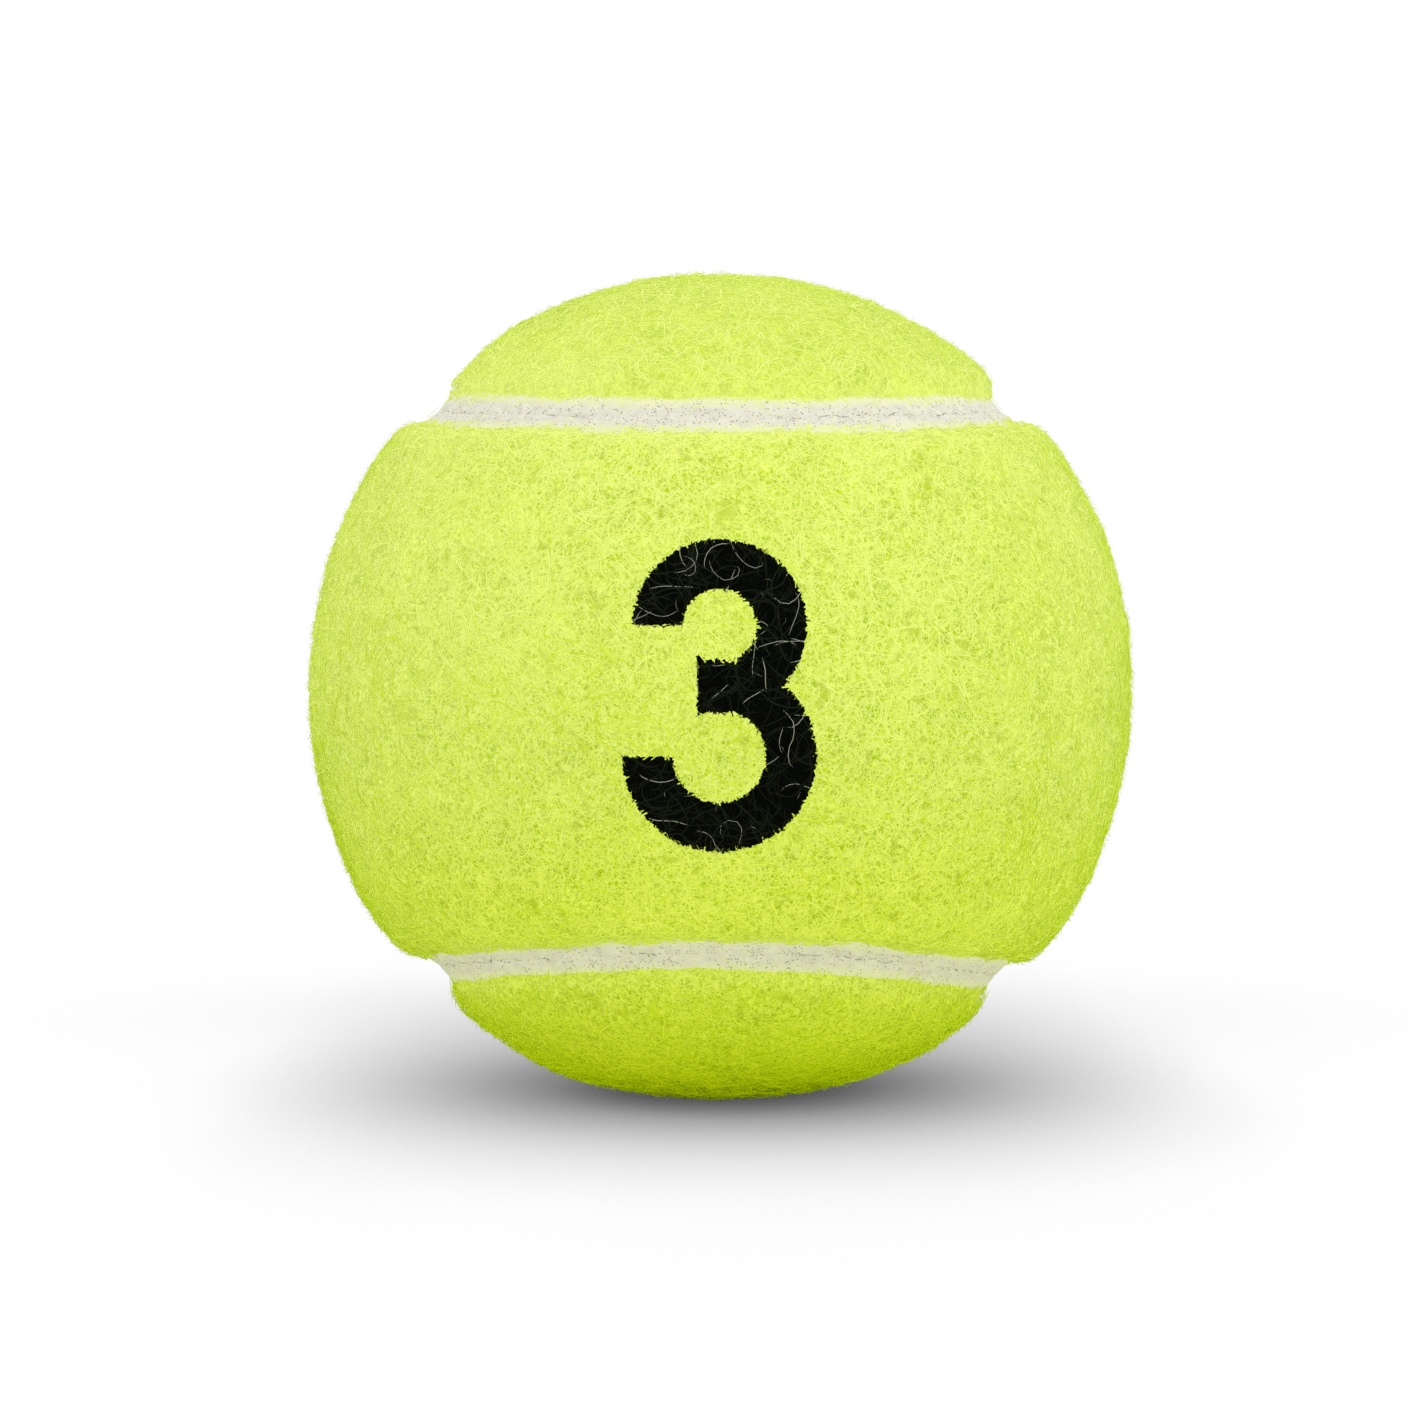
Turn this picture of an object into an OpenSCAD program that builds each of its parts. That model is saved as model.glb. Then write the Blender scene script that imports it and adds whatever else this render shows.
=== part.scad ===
/* [Rubber core] */
// Outside diameter of the hollow rubber core
core_d = 60; // [58:0.1:61]
// Wall of the two moulded half shells of the core
core_wall = 3.4; // [3:0.1:4]
// Thickness of the cement layer that joins the half shells
joint_t = 0.3; // [0.2:0.05:0.6]
// Radius of the bead of cement squeezed out inside the joint
bead_r = 0.5; // [0.35:0.05:0.8]

/* [Felt panels] */
// Thickness of the cement that holds a panel on the core
cement_t = 0.2; // [0.1:0.05:0.4]
// Thickness of the woven backing of the felt
backing_t = 0.8; // [0.5:0.1:1.2]
// Depth of the raised nap over its backing
nap_t = 2.5; // [2.2:0.1:3]
// Radius of the nap where it rolls over at a panel's edge
shoulder_r = 2.4; // [1.6:0.1:3]
// How much of that round the crown of the felt shears off
shoulder_shear = 0.05; // [0.02:0.01:0.15]

/* [Seam] */
// Width of the gap between the cut edges of the two panels
gap_w = 2.8; // [2:0.1:3.6]
// Depth of the seam's surface below the crown of the felt
seam_depth = 1.4; // [1:0.1:1.8]
// Width of the crease where the two rubbered edges meet along the middle of the seam
crease_w = 0.5; // [0.2:0.1:1]
// Depth of that crease
crease_depth = 0.3; // [0.1:0.05:0.5]
// Half the angle that the waist of a panel spans, seen from the ball's centre, in degrees
waist_angle = 38.5; // [36:0.5:43]

/* [Hidden] */
$fn = 96;

// Radii of the layers, from the hollow outwards
core_r = core_d / 2;
hollow_r = core_r - core_wall;
cement_r = core_r + cement_t;
backing_r = cement_r + backing_t;
ball_r = backing_r + nap_t;
seam_r = ball_r - seam_depth;
// How far a cut runs on past what it cuts
overrun = core_wall / 2;
// Reach of the solids that cut the ball, from its centre
reach = ball_r + overrun;

// The seam is one closed line of four equal arcs. Each arc is part of a circle round its own axis
// through the ball's centre. Two pass the waist of the front panel, above and below it, and two
// pass the waist of the rear panel, to its left and right. They meet with one tangent on the
// ball's middle plane, halfway between the waists.
// Lean of an arc's axis towards the waist that the arc passes
axis_lean = atan((1 - sqrt(2) * sin(waist_angle)) / (sqrt(2) * cos(waist_angle)));
// Angle between an arc's axis and the seam
arc_polar = acos(cos(axis_lean) / sqrt(2));

// Centre of the shoulder's round in the seam's cross-section: the round touches the side of the
// gap, and its top is sheared off level with the crown of the felt
shoulder_at = ball_r - shoulder_r + shoulder_shear;
shoulder_x = gap_w / 2 + shoulder_r;
shoulder_y = sqrt(pow(shoulder_at, 2) - pow(shoulder_x, 2));

// Directions of the two arcs beside the front panel's waist, each with its axis along +Z
module at_waist_arcs()
    for (turn = [0, 180])
        rotate([0, turn, 0])
            rotate([axis_lean, 0, 0])
                children();

// The half turn that carries the front panel onto the rear one
module swap_panels()
    rotate(a = 180, v = [1, 0, 1])
        children();

// Turns a cross-section of the seam round an arc's axis. It is drawn with +Y out of the ball, and
// on the front arcs +X points towards the front panel.
module seam_ring()
    rotate_extrude()
        rotate(-arc_polar)
            children();

// The cone through the middle of the seam, round an arc's axis
module seam_cone()
    cylinder(h = reach, r1 = 0, r2 = reach * tan(arc_polar));

// The space in front of the ball's middle plane
module front_half()
    translate([-reach, -reach, -reach])
        cube([2 * reach, reach, 2 * reach]);

module rear_half()
    mirror([0, 1, 0]) front_half();

// A hollow half ball, open at the middle plane, to the front
module half_shell(inner_r, outer_r)
    rotate_extrude(angle = 180, start = 180)
        difference() {
            circle(outer_r);
            circle(inner_r);
            translate([-reach, -reach]) square([reach, 2 * reach]);
        }

// Cross-section of the gap: straight between the cut edges, then flaring between the shoulders
module gap_section() {
    flare = reach / shoulder_at * [shoulder_x, shoulder_y];
    difference() {
        polygon([
            [-gap_w / 2, core_r - overrun],
            [gap_w / 2, core_r - overrun],
            [gap_w / 2, shoulder_y],
            [shoulder_x, shoulder_y],
            [flare.x, flare.y],
            [-flare.x, flare.y],
            [-shoulder_x, shoulder_y],
            [-gap_w / 2, shoulder_y]
        ]);
        for (side = [-1, 1])
            translate([side * shoulder_x, shoulder_y])
                circle(shoulder_r);
    }
}

// Cross-section of the rubber on the front panel's edge: it fills that half of the gap, from the
// core up to the seam's surface, and its top corner drops into the crease
module edge_section()
    difference() {
        intersection() {
            gap_section();
            circle(seam_r);
            translate([0, core_r - overrun]) square([shoulder_x, reach]);
        }
        circle(core_r);
        polygon([
            [-crease_w / 2, seam_r],
            [0, seam_r - crease_depth],
            [crease_w / 2, seam_r],
            [0, seam_r + crease_depth]
        ]);
    }

// One layer of the front panel, with all its edge cut by the gap
module front_panel_layer(inner_r, outer_r) {
    // The waist, between the two arcs in front
    difference() {
        half_shell(inner_r, outer_r);
        at_waist_arcs() seam_cone();
        at_waist_arcs() seam_ring() gap_section();
    }
    // The round ends, inside the two arcs at the back
    difference() {
        intersection() {
            mirror([0, 1, 0]) half_shell(inner_r, outer_r);
            swap_panels() at_waist_arcs() seam_cone();
        }
        swap_panels() at_waist_arcs() seam_ring() gap_section();
    }
}

module front_seam_edge() {
    intersection() {
        front_half();
        at_waist_arcs() seam_ring() edge_section();
    }
    intersection() {
        rear_half();
        swap_panels() at_waist_arcs() seam_ring() mirror([1, 0]) edge_section();
    }
}

// A moulded rubber half shell, up to half the thickness of the joint
module core_half()
    rotate_extrude()
        difference() {
            circle(core_r);
            circle(hollow_r);
            translate([-reach, -reach]) square([reach, 2 * reach]);
            translate([-reach, -reach]) square([2 * reach, reach + joint_t / 2]);
        }

module core_half_upper()
    color("#3d3d40") core_half();

module core_half_lower()
    color("#46464a") mirror([0, 0, 1]) core_half();

// The cement between the half shells, with the bead that it leaves on the wall of the hollow
module core_joint_cement()
    color("#c9b27a")
        rotate_extrude() {
            intersection() {
                difference() {
                    circle(core_r);
                    circle(hollow_r);
                }
                translate([0, -joint_t / 2]) square([reach, joint_t]);
            }
            intersection() {
                translate([hollow_r, 0]) circle(bead_r);
                circle(hollow_r);
            }
        }

module panel_cement_front()
    color("#d9cfa0") front_panel_layer(core_r, cement_r);

module panel_cement_rear()
    color("#cdc392") swap_panels() front_panel_layer(core_r, cement_r);

module felt_backing_front()
    color("#e4e3b4") front_panel_layer(cement_r, backing_r);

module felt_backing_rear()
    color("#dad9a6") swap_panels() front_panel_layer(cement_r, backing_r);

module felt_nap_front()
    color("#dcf05a") front_panel_layer(backing_r, ball_r);

module felt_nap_rear()
    color("#cde24a") swap_panels() front_panel_layer(backing_r, ball_r);

module seam_edge_front()
    color("#e2e2cf") front_seam_edge();

module seam_edge_rear()
    color("#d6d6c2") swap_panels() front_seam_edge();

core_half_upper();
core_half_lower();
core_joint_cement();
panel_cement_front();
panel_cement_rear();
felt_backing_front();
felt_backing_rear();
felt_nap_front();
felt_nap_rear();
seam_edge_front();
seam_edge_rear();
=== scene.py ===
"""Dresses a tennis ball: its felt panels and their fibres, the rubber seam and the inner layers."""

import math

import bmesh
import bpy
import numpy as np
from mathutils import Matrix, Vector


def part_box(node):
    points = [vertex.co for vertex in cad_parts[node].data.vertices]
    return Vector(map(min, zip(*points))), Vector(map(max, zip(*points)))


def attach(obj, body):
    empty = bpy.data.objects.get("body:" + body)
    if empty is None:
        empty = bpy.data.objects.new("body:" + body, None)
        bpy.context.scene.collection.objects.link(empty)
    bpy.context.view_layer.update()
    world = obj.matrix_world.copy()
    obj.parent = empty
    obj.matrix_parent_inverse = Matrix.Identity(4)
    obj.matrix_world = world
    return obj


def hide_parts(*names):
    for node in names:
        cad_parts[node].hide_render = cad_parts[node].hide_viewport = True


bl_info = {
    "name": "Tennis ball",
    "version": (1, 0, 0),
    "blender": (4, 5, 0),
    "location": "3D View > Sidebar > Ball",
    "description": "Models the felt, fibres and seam of a tennis ball round its rubber core",
    "category": "Object",
}

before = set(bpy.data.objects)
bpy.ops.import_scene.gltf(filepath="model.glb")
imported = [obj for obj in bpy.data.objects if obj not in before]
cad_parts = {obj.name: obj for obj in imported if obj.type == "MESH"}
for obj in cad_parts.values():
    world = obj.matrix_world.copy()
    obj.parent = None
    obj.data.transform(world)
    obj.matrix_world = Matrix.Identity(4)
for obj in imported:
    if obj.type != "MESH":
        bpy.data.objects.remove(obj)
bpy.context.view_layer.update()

MM = 0.001
DEGREE = math.pi / 180
CROWN_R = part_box("felt_nap_front")[1].x
BACKING_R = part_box("felt_backing_front")[1].x
CORE_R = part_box("panel_cement_front")[1].x
FRONT, REAR = 1, -1

# Layers of noise, each with its size, its seed and its share of the height
EDGE_WAVES = ((6 * MM, 11, 0.5), (2.3 * MM, 12, 0.45), (0.9 * MM, 13, 0.16))
LUMP_LAYERS = ((9 * MM, 21, 0.65), (4 * MM, 22, 0.35))
TUFT_LAYERS = ((1.7 * MM, 23, 0.6), (0.8 * MM, 24, 0.4))
PIT_LAYERS = ((0.5 * MM, 31, 1.0), (2.4 * MM, 32, 0.6))
RUBBER_LAYERS = ((3.5 * MM, 41, 1.0), (1.1 * MM, 42, 0.5))

# How much nearer the middle of the seam the cut edges lie than in the source: everywhere, low on
# the ball's front and back, and at its outline, there for both panels and then for one of them
CLOSER = 0.49 * MM
CLOSER_LOW = 0.43 * MM
OUTLINE_CLOSER = 0.1 * MM
OUTLINE_FRONT_LOW = 0.45 * MM
OUTLINE_REAR_RIGHT = 0.6 * MM
OUTLINE_REAR_LOW_RIGHT = 0.5 * MM
# Distance over which these come in
CLOSER_FADE = 10 * MM
# Angle from the seam over which the wander of a cut edge fades out
WANDER_FADE = 5 * DEGREE

# The real seam's stray from its even line. It passes the front this far over and under the middle:
SEAM_HEIGHT = 23 * MM
# Its stray reaches this far over and under that height, and fades out behind the outline:
STRAY_REACH = 9 * MM
STRAY_BACK = (-9 * MM, 1 * MM)
# The lower seam is high in its middle and low at its ends, and lower still at its right end:
LOWER_HIGH = 0.5 * MM
LOWER_DROOP, DROOP_AT = 1.25 * MM, 22 * MM
RIGHT_DROP, RIGHT_FROM, RIGHT_TO = 0.7 * MM, 9 * MM, 17 * MM
# The upper seam sags in its middle:
UPPER_SAG, UPPER_SAG_WIDE = 0.6 * MM, 13 * MM
# All round the ball it wanders a little:
SEAM_WANDER, SEAM_WANDER_SIZE, SEAM_WANDER_SEEDS = 0.25 * MM, 17 * MM, (71, 72, 73)

# Where the felt swells beside the seam, and how wide, in degrees from the middle of the seam
SWELL_AT, SWELL_WIDE = 10.5, 3.6
# Levels of the pits' noise at which a pit begins and is at its deepest
PIT_FROM, PIT_FULL = 0.56, 0.9
# Heights between which the matted felt turns into the brushed felt of the top cap
BRUSHED_FROM, BRUSHED_TO = 20 * MM, 25 * MM
# Share of the pits that the brushed felt lacks
PITS_BRUSHED_OUT = 0.8
# Angle from the rim over which the relief comes in
RELIEF_FADE = 5 * DEGREE

# Where the felt stands out or is pressed in: height over the middle in degrees, side (-1 left,
# 1 right or 0 for both), width in degrees and rise
BULGES = (
    (-62, 0, 14, 0.45 * MM), (-29, 0, 9, 0.3 * MM), (-33, 1, 12, 0.15 * MM), (47, -1, 7, -0.75 * MM),
    (27, 1, 9, 0.1 * MM), (8, -1, 24, -0.22 * MM), (-67, -1, 6, 0.25 * MM), (-56, 1, 6, 0.15 * MM),
    (-45, -1, 9, -0.25 * MM),
)
# Share of the radius, sideways, over which a bulge of one side comes in
BULGE_SIDE = (0.1, 0.4)

# Painted light: how much paler the felt is from its middle to its top, where it lies open to the light
PAINTED_LIGHT_UP = 0.11


def length_prop(name, description, default, low, high):
    """A length in metres that a user can change."""
    return bpy.props.FloatProperty(
        name=name, description=description, default=default, min=low, max=high,
        unit="LENGTH", precision=5)


def colour_prop(name, description, default):
    """A linear colour that a user can change."""
    return bpy.props.FloatVectorProperty(
        name=name, description=description, default=default, min=0, max=1,
        size=3, subtype="COLOR")


def share_prop(name, description, default, high=1.0):
    """A plain factor that a user can change."""
    return bpy.props.FloatProperty(
        name=name, description=description, default=default, min=0, max=high, subtype="FACTOR")


def count_prop(name, description, default, high):
    """A number of copies that a user can change."""
    return bpy.props.IntProperty(
        name=name, description=description, default=default, min=1, max=high)


class BALL_PG_sizes(bpy.types.PropertyGroup):
    """Sizes of the ball's layers and of its seam"""
    crown: length_prop("Crown radius", "Radius of the ball over the felt", CROWN_R, 0.03, 0.04)
    backing: length_prop(
        "Backing radius", "Radius over the woven backing under the nap", BACKING_R, 0.028, 0.036)
    core: length_prop("Bed radius", "Radius of what the seam rubber lies on", CORE_R, 0.026, 0.034)
    waist: bpy.props.FloatProperty(
        name="Waist angle", description="Half the angle that a panel's waist spans",
        default=38.5 * DEGREE, min=30 * DEGREE, max=45 * DEGREE, subtype="ANGLE")
    gap: length_prop("Gap", "Width between the cut edges of the panels", 2.8 * MM, 0.001, 0.005)
    shoulder: length_prop(
        "Shoulder radius", "Radius of the nap where it rolls over at the edge", 2.4 * MM, 0.001, 0.004)
    seam_depth: length_prop(
        "Seam depth", "Depth of the seam's surface below the crown", 1.4 * MM, 0.0005, 0.0025)
    tuck: length_prop(
        "Tuck", "How far the seam rubber runs on under the felt's edge", 0.8 * MM, 0.0, 0.002)


class BALL_PG_felt(bpy.types.PropertyGroup):
    """Relief, fibres and colours of the felt"""
    swell: length_prop("Swell", "Height of the felt's swell beside the seam", 0.06 * MM, 0.0, 0.001)
    sink: length_prop("Sink", "How deep the nap's mass lies under its loose fibres", 0.27 * MM, 0.0, 0.001)
    lumps: length_prop("Lumps", "Height of the broad unevenness of the nap", 0.18 * MM, 0.0, 0.001)
    tufts: length_prop("Tufts", "Height of the matted tufts", 0.045 * MM, 0.0, 0.001)
    pits: length_prop("Pits", "Depth of the small gaps between the tufts", 0.2 * MM, 0.0, 0.001)
    wave: length_prop("Edge wave", "How far the cut edges wander", 0.8 * MM, 0.0, 0.001)
    fibre: length_prop("Fibre", "Thickness of a loose fibre", 0.08 * MM, 0.00002, 0.0003)
    mat: count_prop("Mat fibres", "Short fibres that stand off the nap", 64000, 90000)
    curls: count_prop("Curled fibres", "Long fibres that curl over the mat", 17500, 30000)
    fringe: count_prop("Fringe fibres", "Short fibres that hang over the seam's edge", 7500, 15000)
    strays: count_prop("Stray fibres", "Single fibres that lie across the seam", 320, 2000)
    # Partly the felt's own tone, partly painted shade for the gaps between fibres, which cast no shadow
    deep: colour_prop("Deep felt", "Felt in the gaps of the nap", (0.30, 0.45, 0.0))
    # Painted shade: the felt is drawn towards this darker colour in its pits
    pit: colour_prop("Pits", "Felt at the bottom of the pits", (0.44, 0.55, 0.0))
    body: colour_prop("Felt", "Felt of the nap's mass", (0.405, 0.565, 0.001))
    fibre_body: colour_prop("Fibre", "Most of the loose fibres", (0.63, 0.80, 0.03))
    pale: colour_prop("Pale fibre", "Fibres that catch the light", (0.89, 1.0, 0.26))
    # Painted shade: felt and fibres are multiplied by this, the more the lower they lie on the ball
    low: colour_prop("Low felt", "Tint of the felt low on the ball", (1.0, 1.0, 0.02))
    trim: colour_prop("Cut edge", "Pale line along the felt's cut edge", (0.86, 0.93, 0.36))
    dyed: colour_prop("Dyed fibre", "Palest of the fibres that the ink has dyed", (0.014, 0.018, 0.009))
    bare: colour_prop("Bare fibre", "Undyed fibres that lie over the ink", (0.34, 0.36, 0.28))
    ink: colour_prop("Ink", "Ink of the ball's number", (0.0015, 0.002, 0.001))


class BALL_PG_seam(bpy.types.PropertyGroup):
    """Looks of the seam rubber"""
    rubber: colour_prop("Rubber", "Off-white rubber", (0.75, 0.75, 0.63))
    shade: colour_prop("Shade", "Greyer patches of the rubber", (0.62, 0.61, 0.53))
    stain: colour_prop("Stains", "Yellow-pink stains on the rubber", (0.76, 0.68, 0.5))
    soak: colour_prop("Soaked edge", "Rubber that has soaked into the felt's edge", (0.78, 0.81, 0.46))
    speck: colour_prop("Specks", "Dirt in the pores", (0.16, 0.15, 0.10))
    crease: length_prop("Crease", "Depth of the line where the edges meet", 0.16 * MM, 0.0, 0.001)
    uneven: length_prop("Unevenness", "Height of the waves of the rubber", 0.07 * MM, 0.0, 0.001)


class BALL_PG_studio(bpy.types.PropertyGroup):
    """Camera, lamp and floor"""
    distance: length_prop("Distance", "From the ball's centre to the camera", 7 * CROWN_R, 0.1, 2)
    lens: bpy.props.FloatProperty(
        name="Lens", description="Focal length on a 36 mm sensor", default=71.9, min=20, max=200,
        unit="CAMERA")
    sky: share_prop("Sky", "Strength of the light from all round", 1.0, 2)
    key: share_prop("Key lamp", "Radiance of the lamp above the ball", 1.22, 10)
    bounce: colour_prop("Floor bounce", "Colour of the light off the floor", (0.98, 0.98, 0.9))
    under: colour_prop(
        "Light under the ball", "Colour of the light between ball and floor", (0.95, 0.97, 0.28))
    shadow: share_prop("Shadow", "How much the floor darkens where the ball hides its sky", 1.06, 2)
    behind: share_prop("Shadow behind", "How much more the floor darkens behind the ball", 0.13, 1)
    fall: share_prop("Fall-off", "How fast the shadow fades outwards", 0.84, 4)


class BallShape:
    """The seam's four arcs and the felt's surface, worked out from the sizes."""

    def __init__(self, scene):
        size, felt = scene.ball_sizes, scene.ball_felt
        self.crown, self.backing, self.core = size.crown, size.backing, size.core
        root2 = math.sqrt(2)
        lean = math.atan((1 - root2 * math.sin(size.waist)) / (root2 * math.cos(size.waist)))
        self.polar = math.acos(math.cos(lean) / root2)
        self.turn = math.pi + 2 * math.atan(math.sin(lean))
        self.front_axes = np.array(
            [(0, -math.sin(lean), side * math.cos(lean)) for side in (1, -1)])
        self.rear_axes = np.array(
            [(side * math.cos(lean), math.sin(lean), 0) for side in (1, -1)])
        self.seam = size.crown - size.seam_depth
        self.half_gap = size.gap / 2
        self.shoulder = size.shoulder
        at_x = self.half_gap + size.shoulder
        self.shoulder_at = self.crown - size.shoulder
        self.shoulder_angle = math.asin(at_x / self.shoulder_at)
        self.rim = self.shoulder_angle - math.asin(size.shoulder / self.shoulder_at)
        self.felt = felt

    def from_seam(self, unit, panel):
        """Angle from the middle of the seam into a panel, and the way that it grows."""
        off_front = np.stack([unit @ a for a in self.front_axes])
        off_rear = np.stack([unit @ a for a in self.rear_axes])
        front = unit[:, 1] < 0
        nearest = np.where(front, off_front.argmax(0), off_rear.argmax(0))
        cosine = np.where(front, off_front.max(0), off_rear.max(0)).clip(-1, 1)
        axis = np.where(front[:, None], self.front_axes[nearest], self.rear_axes[nearest])
        sign = np.where(front, 1.0, -1.0) * panel
        angle = (np.arccos(cosine) - self.polar) * sign
        away = cosine[:, None] * unit - axis
        away /= np.linalg.norm(away, axis=1, keepdims=True).clip(1e-9)
        return angle, away * sign[:, None]

    def edge_wave(self, unit, panel):
        """How far a panel's edge wanders away from the seam, in radians."""
        at = unit * self.crown
        outline = np.exp(-((at[:, 1] / CLOSER_FADE) ** 2))
        lower = smooth_step(-at[:, 2], 0.0, CLOSER_FADE)
        right = smooth_step(at[:, 0], 0.0, CLOSER_FADE)
        if panel == FRONT:
            closer = OUTLINE_CLOSER + OUTLINE_FRONT_LOW * lower
        else:
            closer = OUTLINE_CLOSER + (OUTLINE_REAR_RIGHT + OUTLINE_REAR_LOW_RIGHT * lower) * right
        closer = CLOSER + closer * outline + CLOSER_LOW * lower * (1 - outline)
        return (layered_noise(at, EDGE_WAVES) * self.felt.wave - closer) / self.crown

    def strayed(self, rows):
        """Places moved a little over the ball, as the real seam strays from its even line."""
        x, y, z = rows.T
        level = np.linalg.norm(rows, axis=1, keepdims=True)
        rise = LOWER_HIGH - LOWER_DROOP * (x / DROOP_AT) ** 2
        rise -= RIGHT_DROP * smooth_step(x, RIGHT_FROM, RIGHT_TO)
        rise *= np.exp(-(((z + SEAM_HEIGHT) / STRAY_REACH) ** 2))
        upper = np.exp(-((x / UPPER_SAG_WIDE) ** 2) - ((z - SEAM_HEIGHT) / STRAY_REACH) ** 2)
        rise -= UPPER_SAG * upper
        rise *= smooth_step(-y, *STRAY_BACK)
        shift = np.stack(
            [smooth_noise(rows, SEAM_WANDER_SIZE, seed) for seed in SEAM_WANDER_SEEDS], 1)
        shift *= SEAM_WANDER
        shift[:, 2] += rise
        return unit_rows(rows + shift) * level

    def profile(self, angle):
        """Radius of the nap's mass, without its relief, at an angle from the middle of the seam."""
        off = (self.shoulder_angle - angle).clip(0, self.shoulder_angle - self.rim)
        rise = np.sqrt((self.shoulder**2 - (self.shoulder_at * np.sin(off)) ** 2).clip(0))
        radius = self.shoulder_at * np.cos(off) + rise
        beside = np.exp(-(((angle / DEGREE - SWELL_AT) / SWELL_WIDE) ** 2))
        return radius + self.felt.swell * beside - self.felt.sink

    def pit_depth(self, at):
        """From 0 on the mat to 1 in the middle of a pit."""
        brushed = smooth_step(at[:, 2], BRUSHED_FROM, BRUSHED_TO)
        depth = smooth_step(layered_noise(at, PIT_LAYERS), PIT_FROM, PIT_FULL)
        return depth * (1 - PITS_BRUSHED_OUT * brushed)

    def relief(self, unit, angle):
        """Height of the lumps, tufts, pits and bulges over the smooth felt."""
        at = unit * self.crown
        height = self.felt.lumps * layered_noise(at, LUMP_LAYERS)
        height += self.felt.tufts * layered_noise(at, TUFT_LAYERS)
        height -= self.felt.pits * self.pit_depth(at)
        upwards = np.degrees(np.arcsin(unit[:, 2].clip(-1, 1)))
        for middle, side, wide, rise in BULGES:
            share = np.exp(-(((upwards - middle) / wide) ** 2))
            if side:
                share = share * smooth_step(side * unit[:, 0], *BULGE_SIDE)
            height += rise * share
        return height * smooth_step(angle, self.rim, self.rim + RELIEF_FADE)

    def felt_radius(self, unit, panel):
        """Radius of the uneven felt in each direction, and the angle from the seam."""
        angle, _ = self.from_seam(unit, panel)
        settled = angle - self.edge_wave(unit, panel) * edge_share(angle)
        return self.profile(settled) + self.relief(unit, angle), angle


def edge_share(angle):
    """How much of the edge's wander a place takes, fading away from the seam."""
    return np.exp(-((angle / WANDER_FADE) ** 2))


def smooth_step(value, low, high):
    """0 below low, 1 above high and smooth between them."""
    share = ((value - low) / (high - low)).clip(0, 1)
    return share * share * (3 - 2 * share)


NOISE_CELLS = 64


def smooth_noise(at, size, seed):
    """Noise from -1 to 1 that changes over about the given size."""
    table = np.random.default_rng(seed).uniform(-1, 1, (NOISE_CELLS,) * 3)
    place = at / size + 1000.0 + 0.37 * seed
    cell = np.floor(place).astype(np.int64)
    part = place - cell
    part = part * part * (3 - 2 * part)
    total = np.zeros(len(at))
    for corner in np.ndindex(2, 2, 2):
        weight = np.prod(np.where(corner, part, 1 - part), axis=1)
        i, j, k = ((cell + corner) % NOISE_CELLS).T
        total += weight * table[i, j, k]
    return total


def layered_noise(at, layers):
    """The sum of some layers of noise, each of its own size, seed and share."""
    return sum(share * smooth_noise(at, size, seed) for size, seed, share in layers)


def unit_rows(rows):
    """Each row at length one."""
    return rows / np.linalg.norm(rows, axis=1, keepdims=True).clip(1e-12)


def places_of(mesh):
    """The places of a mesh's vertices, one row each."""
    rows = np.empty(len(mesh.vertices) * 3)
    mesh.vertices.foreach_get("co", rows)
    return rows.reshape(-1, 3)


def set_places(mesh, rows):
    """Moves a mesh's vertices to the given rows."""
    mesh.vertices.foreach_set("co", rows.astype(np.float32).ravel())
    mesh.update()


def store_values(mesh, name, values):
    """Keeps one number for each vertex, for the mesh's material to read."""
    layer = mesh.attributes.new(name, "FLOAT", "POINT")
    layer.data.foreach_set("value", values.astype(np.float32))


def deselect_all():
    """Leaves nothing selected, so that an operator acts only on what is added next."""
    if bpy.context.object and bpy.context.object.mode != "OBJECT":
        bpy.ops.object.mode_set(mode="OBJECT")
    bpy.ops.object.select_all(action="DESELECT")


def select_only(obj):
    """Makes one object the selected and active one."""
    deselect_all()
    obj.select_set(True)
    bpy.context.view_layer.objects.active = obj


def pick_faces(obj, wanted):
    """Selects the faces whose centre passes a test, in edit mode."""
    bpy.ops.mesh.select_all(action="DESELECT")
    mesh = bmesh.from_edit_mesh(obj.data)
    for face in mesh.faces:
        if wanted(face.calc_center_median()):
            face.select_set(True)
    bmesh.update_edit_mesh(obj.data)


def rename(obj, name):
    """Names an object and its mesh alike."""
    obj.name = obj.data.name = name


def finish_piece(obj, material):
    """Gives a finished piece its material and its place in the frame."""
    obj.data.materials.clear()
    obj.data.materials.append(material)
    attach(obj, "root")


def add_node(tree, kind, inputs=None, **settings):
    """A shader node with its settings, its links and its plain values."""
    node = tree.nodes.new(kind)
    for key, value in settings.items():
        setattr(node, key, value)
    for key, value in (inputs or {}).items():
        if isinstance(value, bpy.types.NodeSocket):
            tree.links.new(value, node.inputs[key])
        else:
            node.inputs[key].default_value = value
    return node


def mix_colour(tree, share, first, second, blend="MIX"):
    """The colour output of a mix of two colours."""
    node = add_node(tree, "ShaderNodeMix", data_type="RGBA", blend_type=blend)
    for index, value in ((0, share), (6, first), (7, second)):
        if isinstance(value, bpy.types.NodeSocket):
            tree.links.new(value, node.inputs[index])
        else:
            node.inputs[index].default_value = value
    return node.outputs[2]


def do_math(tree, operation, first, second=0.0):
    """The output of one sum."""
    return add_node(tree, "ShaderNodeMath", {0: first, 1: second}, operation=operation).outputs[0]


def noise_node(tree, at, size, detail=2.0, rough=0.5, distort=0.0):
    """Noise whose features are about the given size in metres."""
    node = add_node(tree, "ShaderNodeTexNoise", {
        "Vector": at, "Scale": 1 / size, "Detail": detail, "Roughness": rough,
        "Distortion": distort})
    return node.outputs["Fac"]


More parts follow.
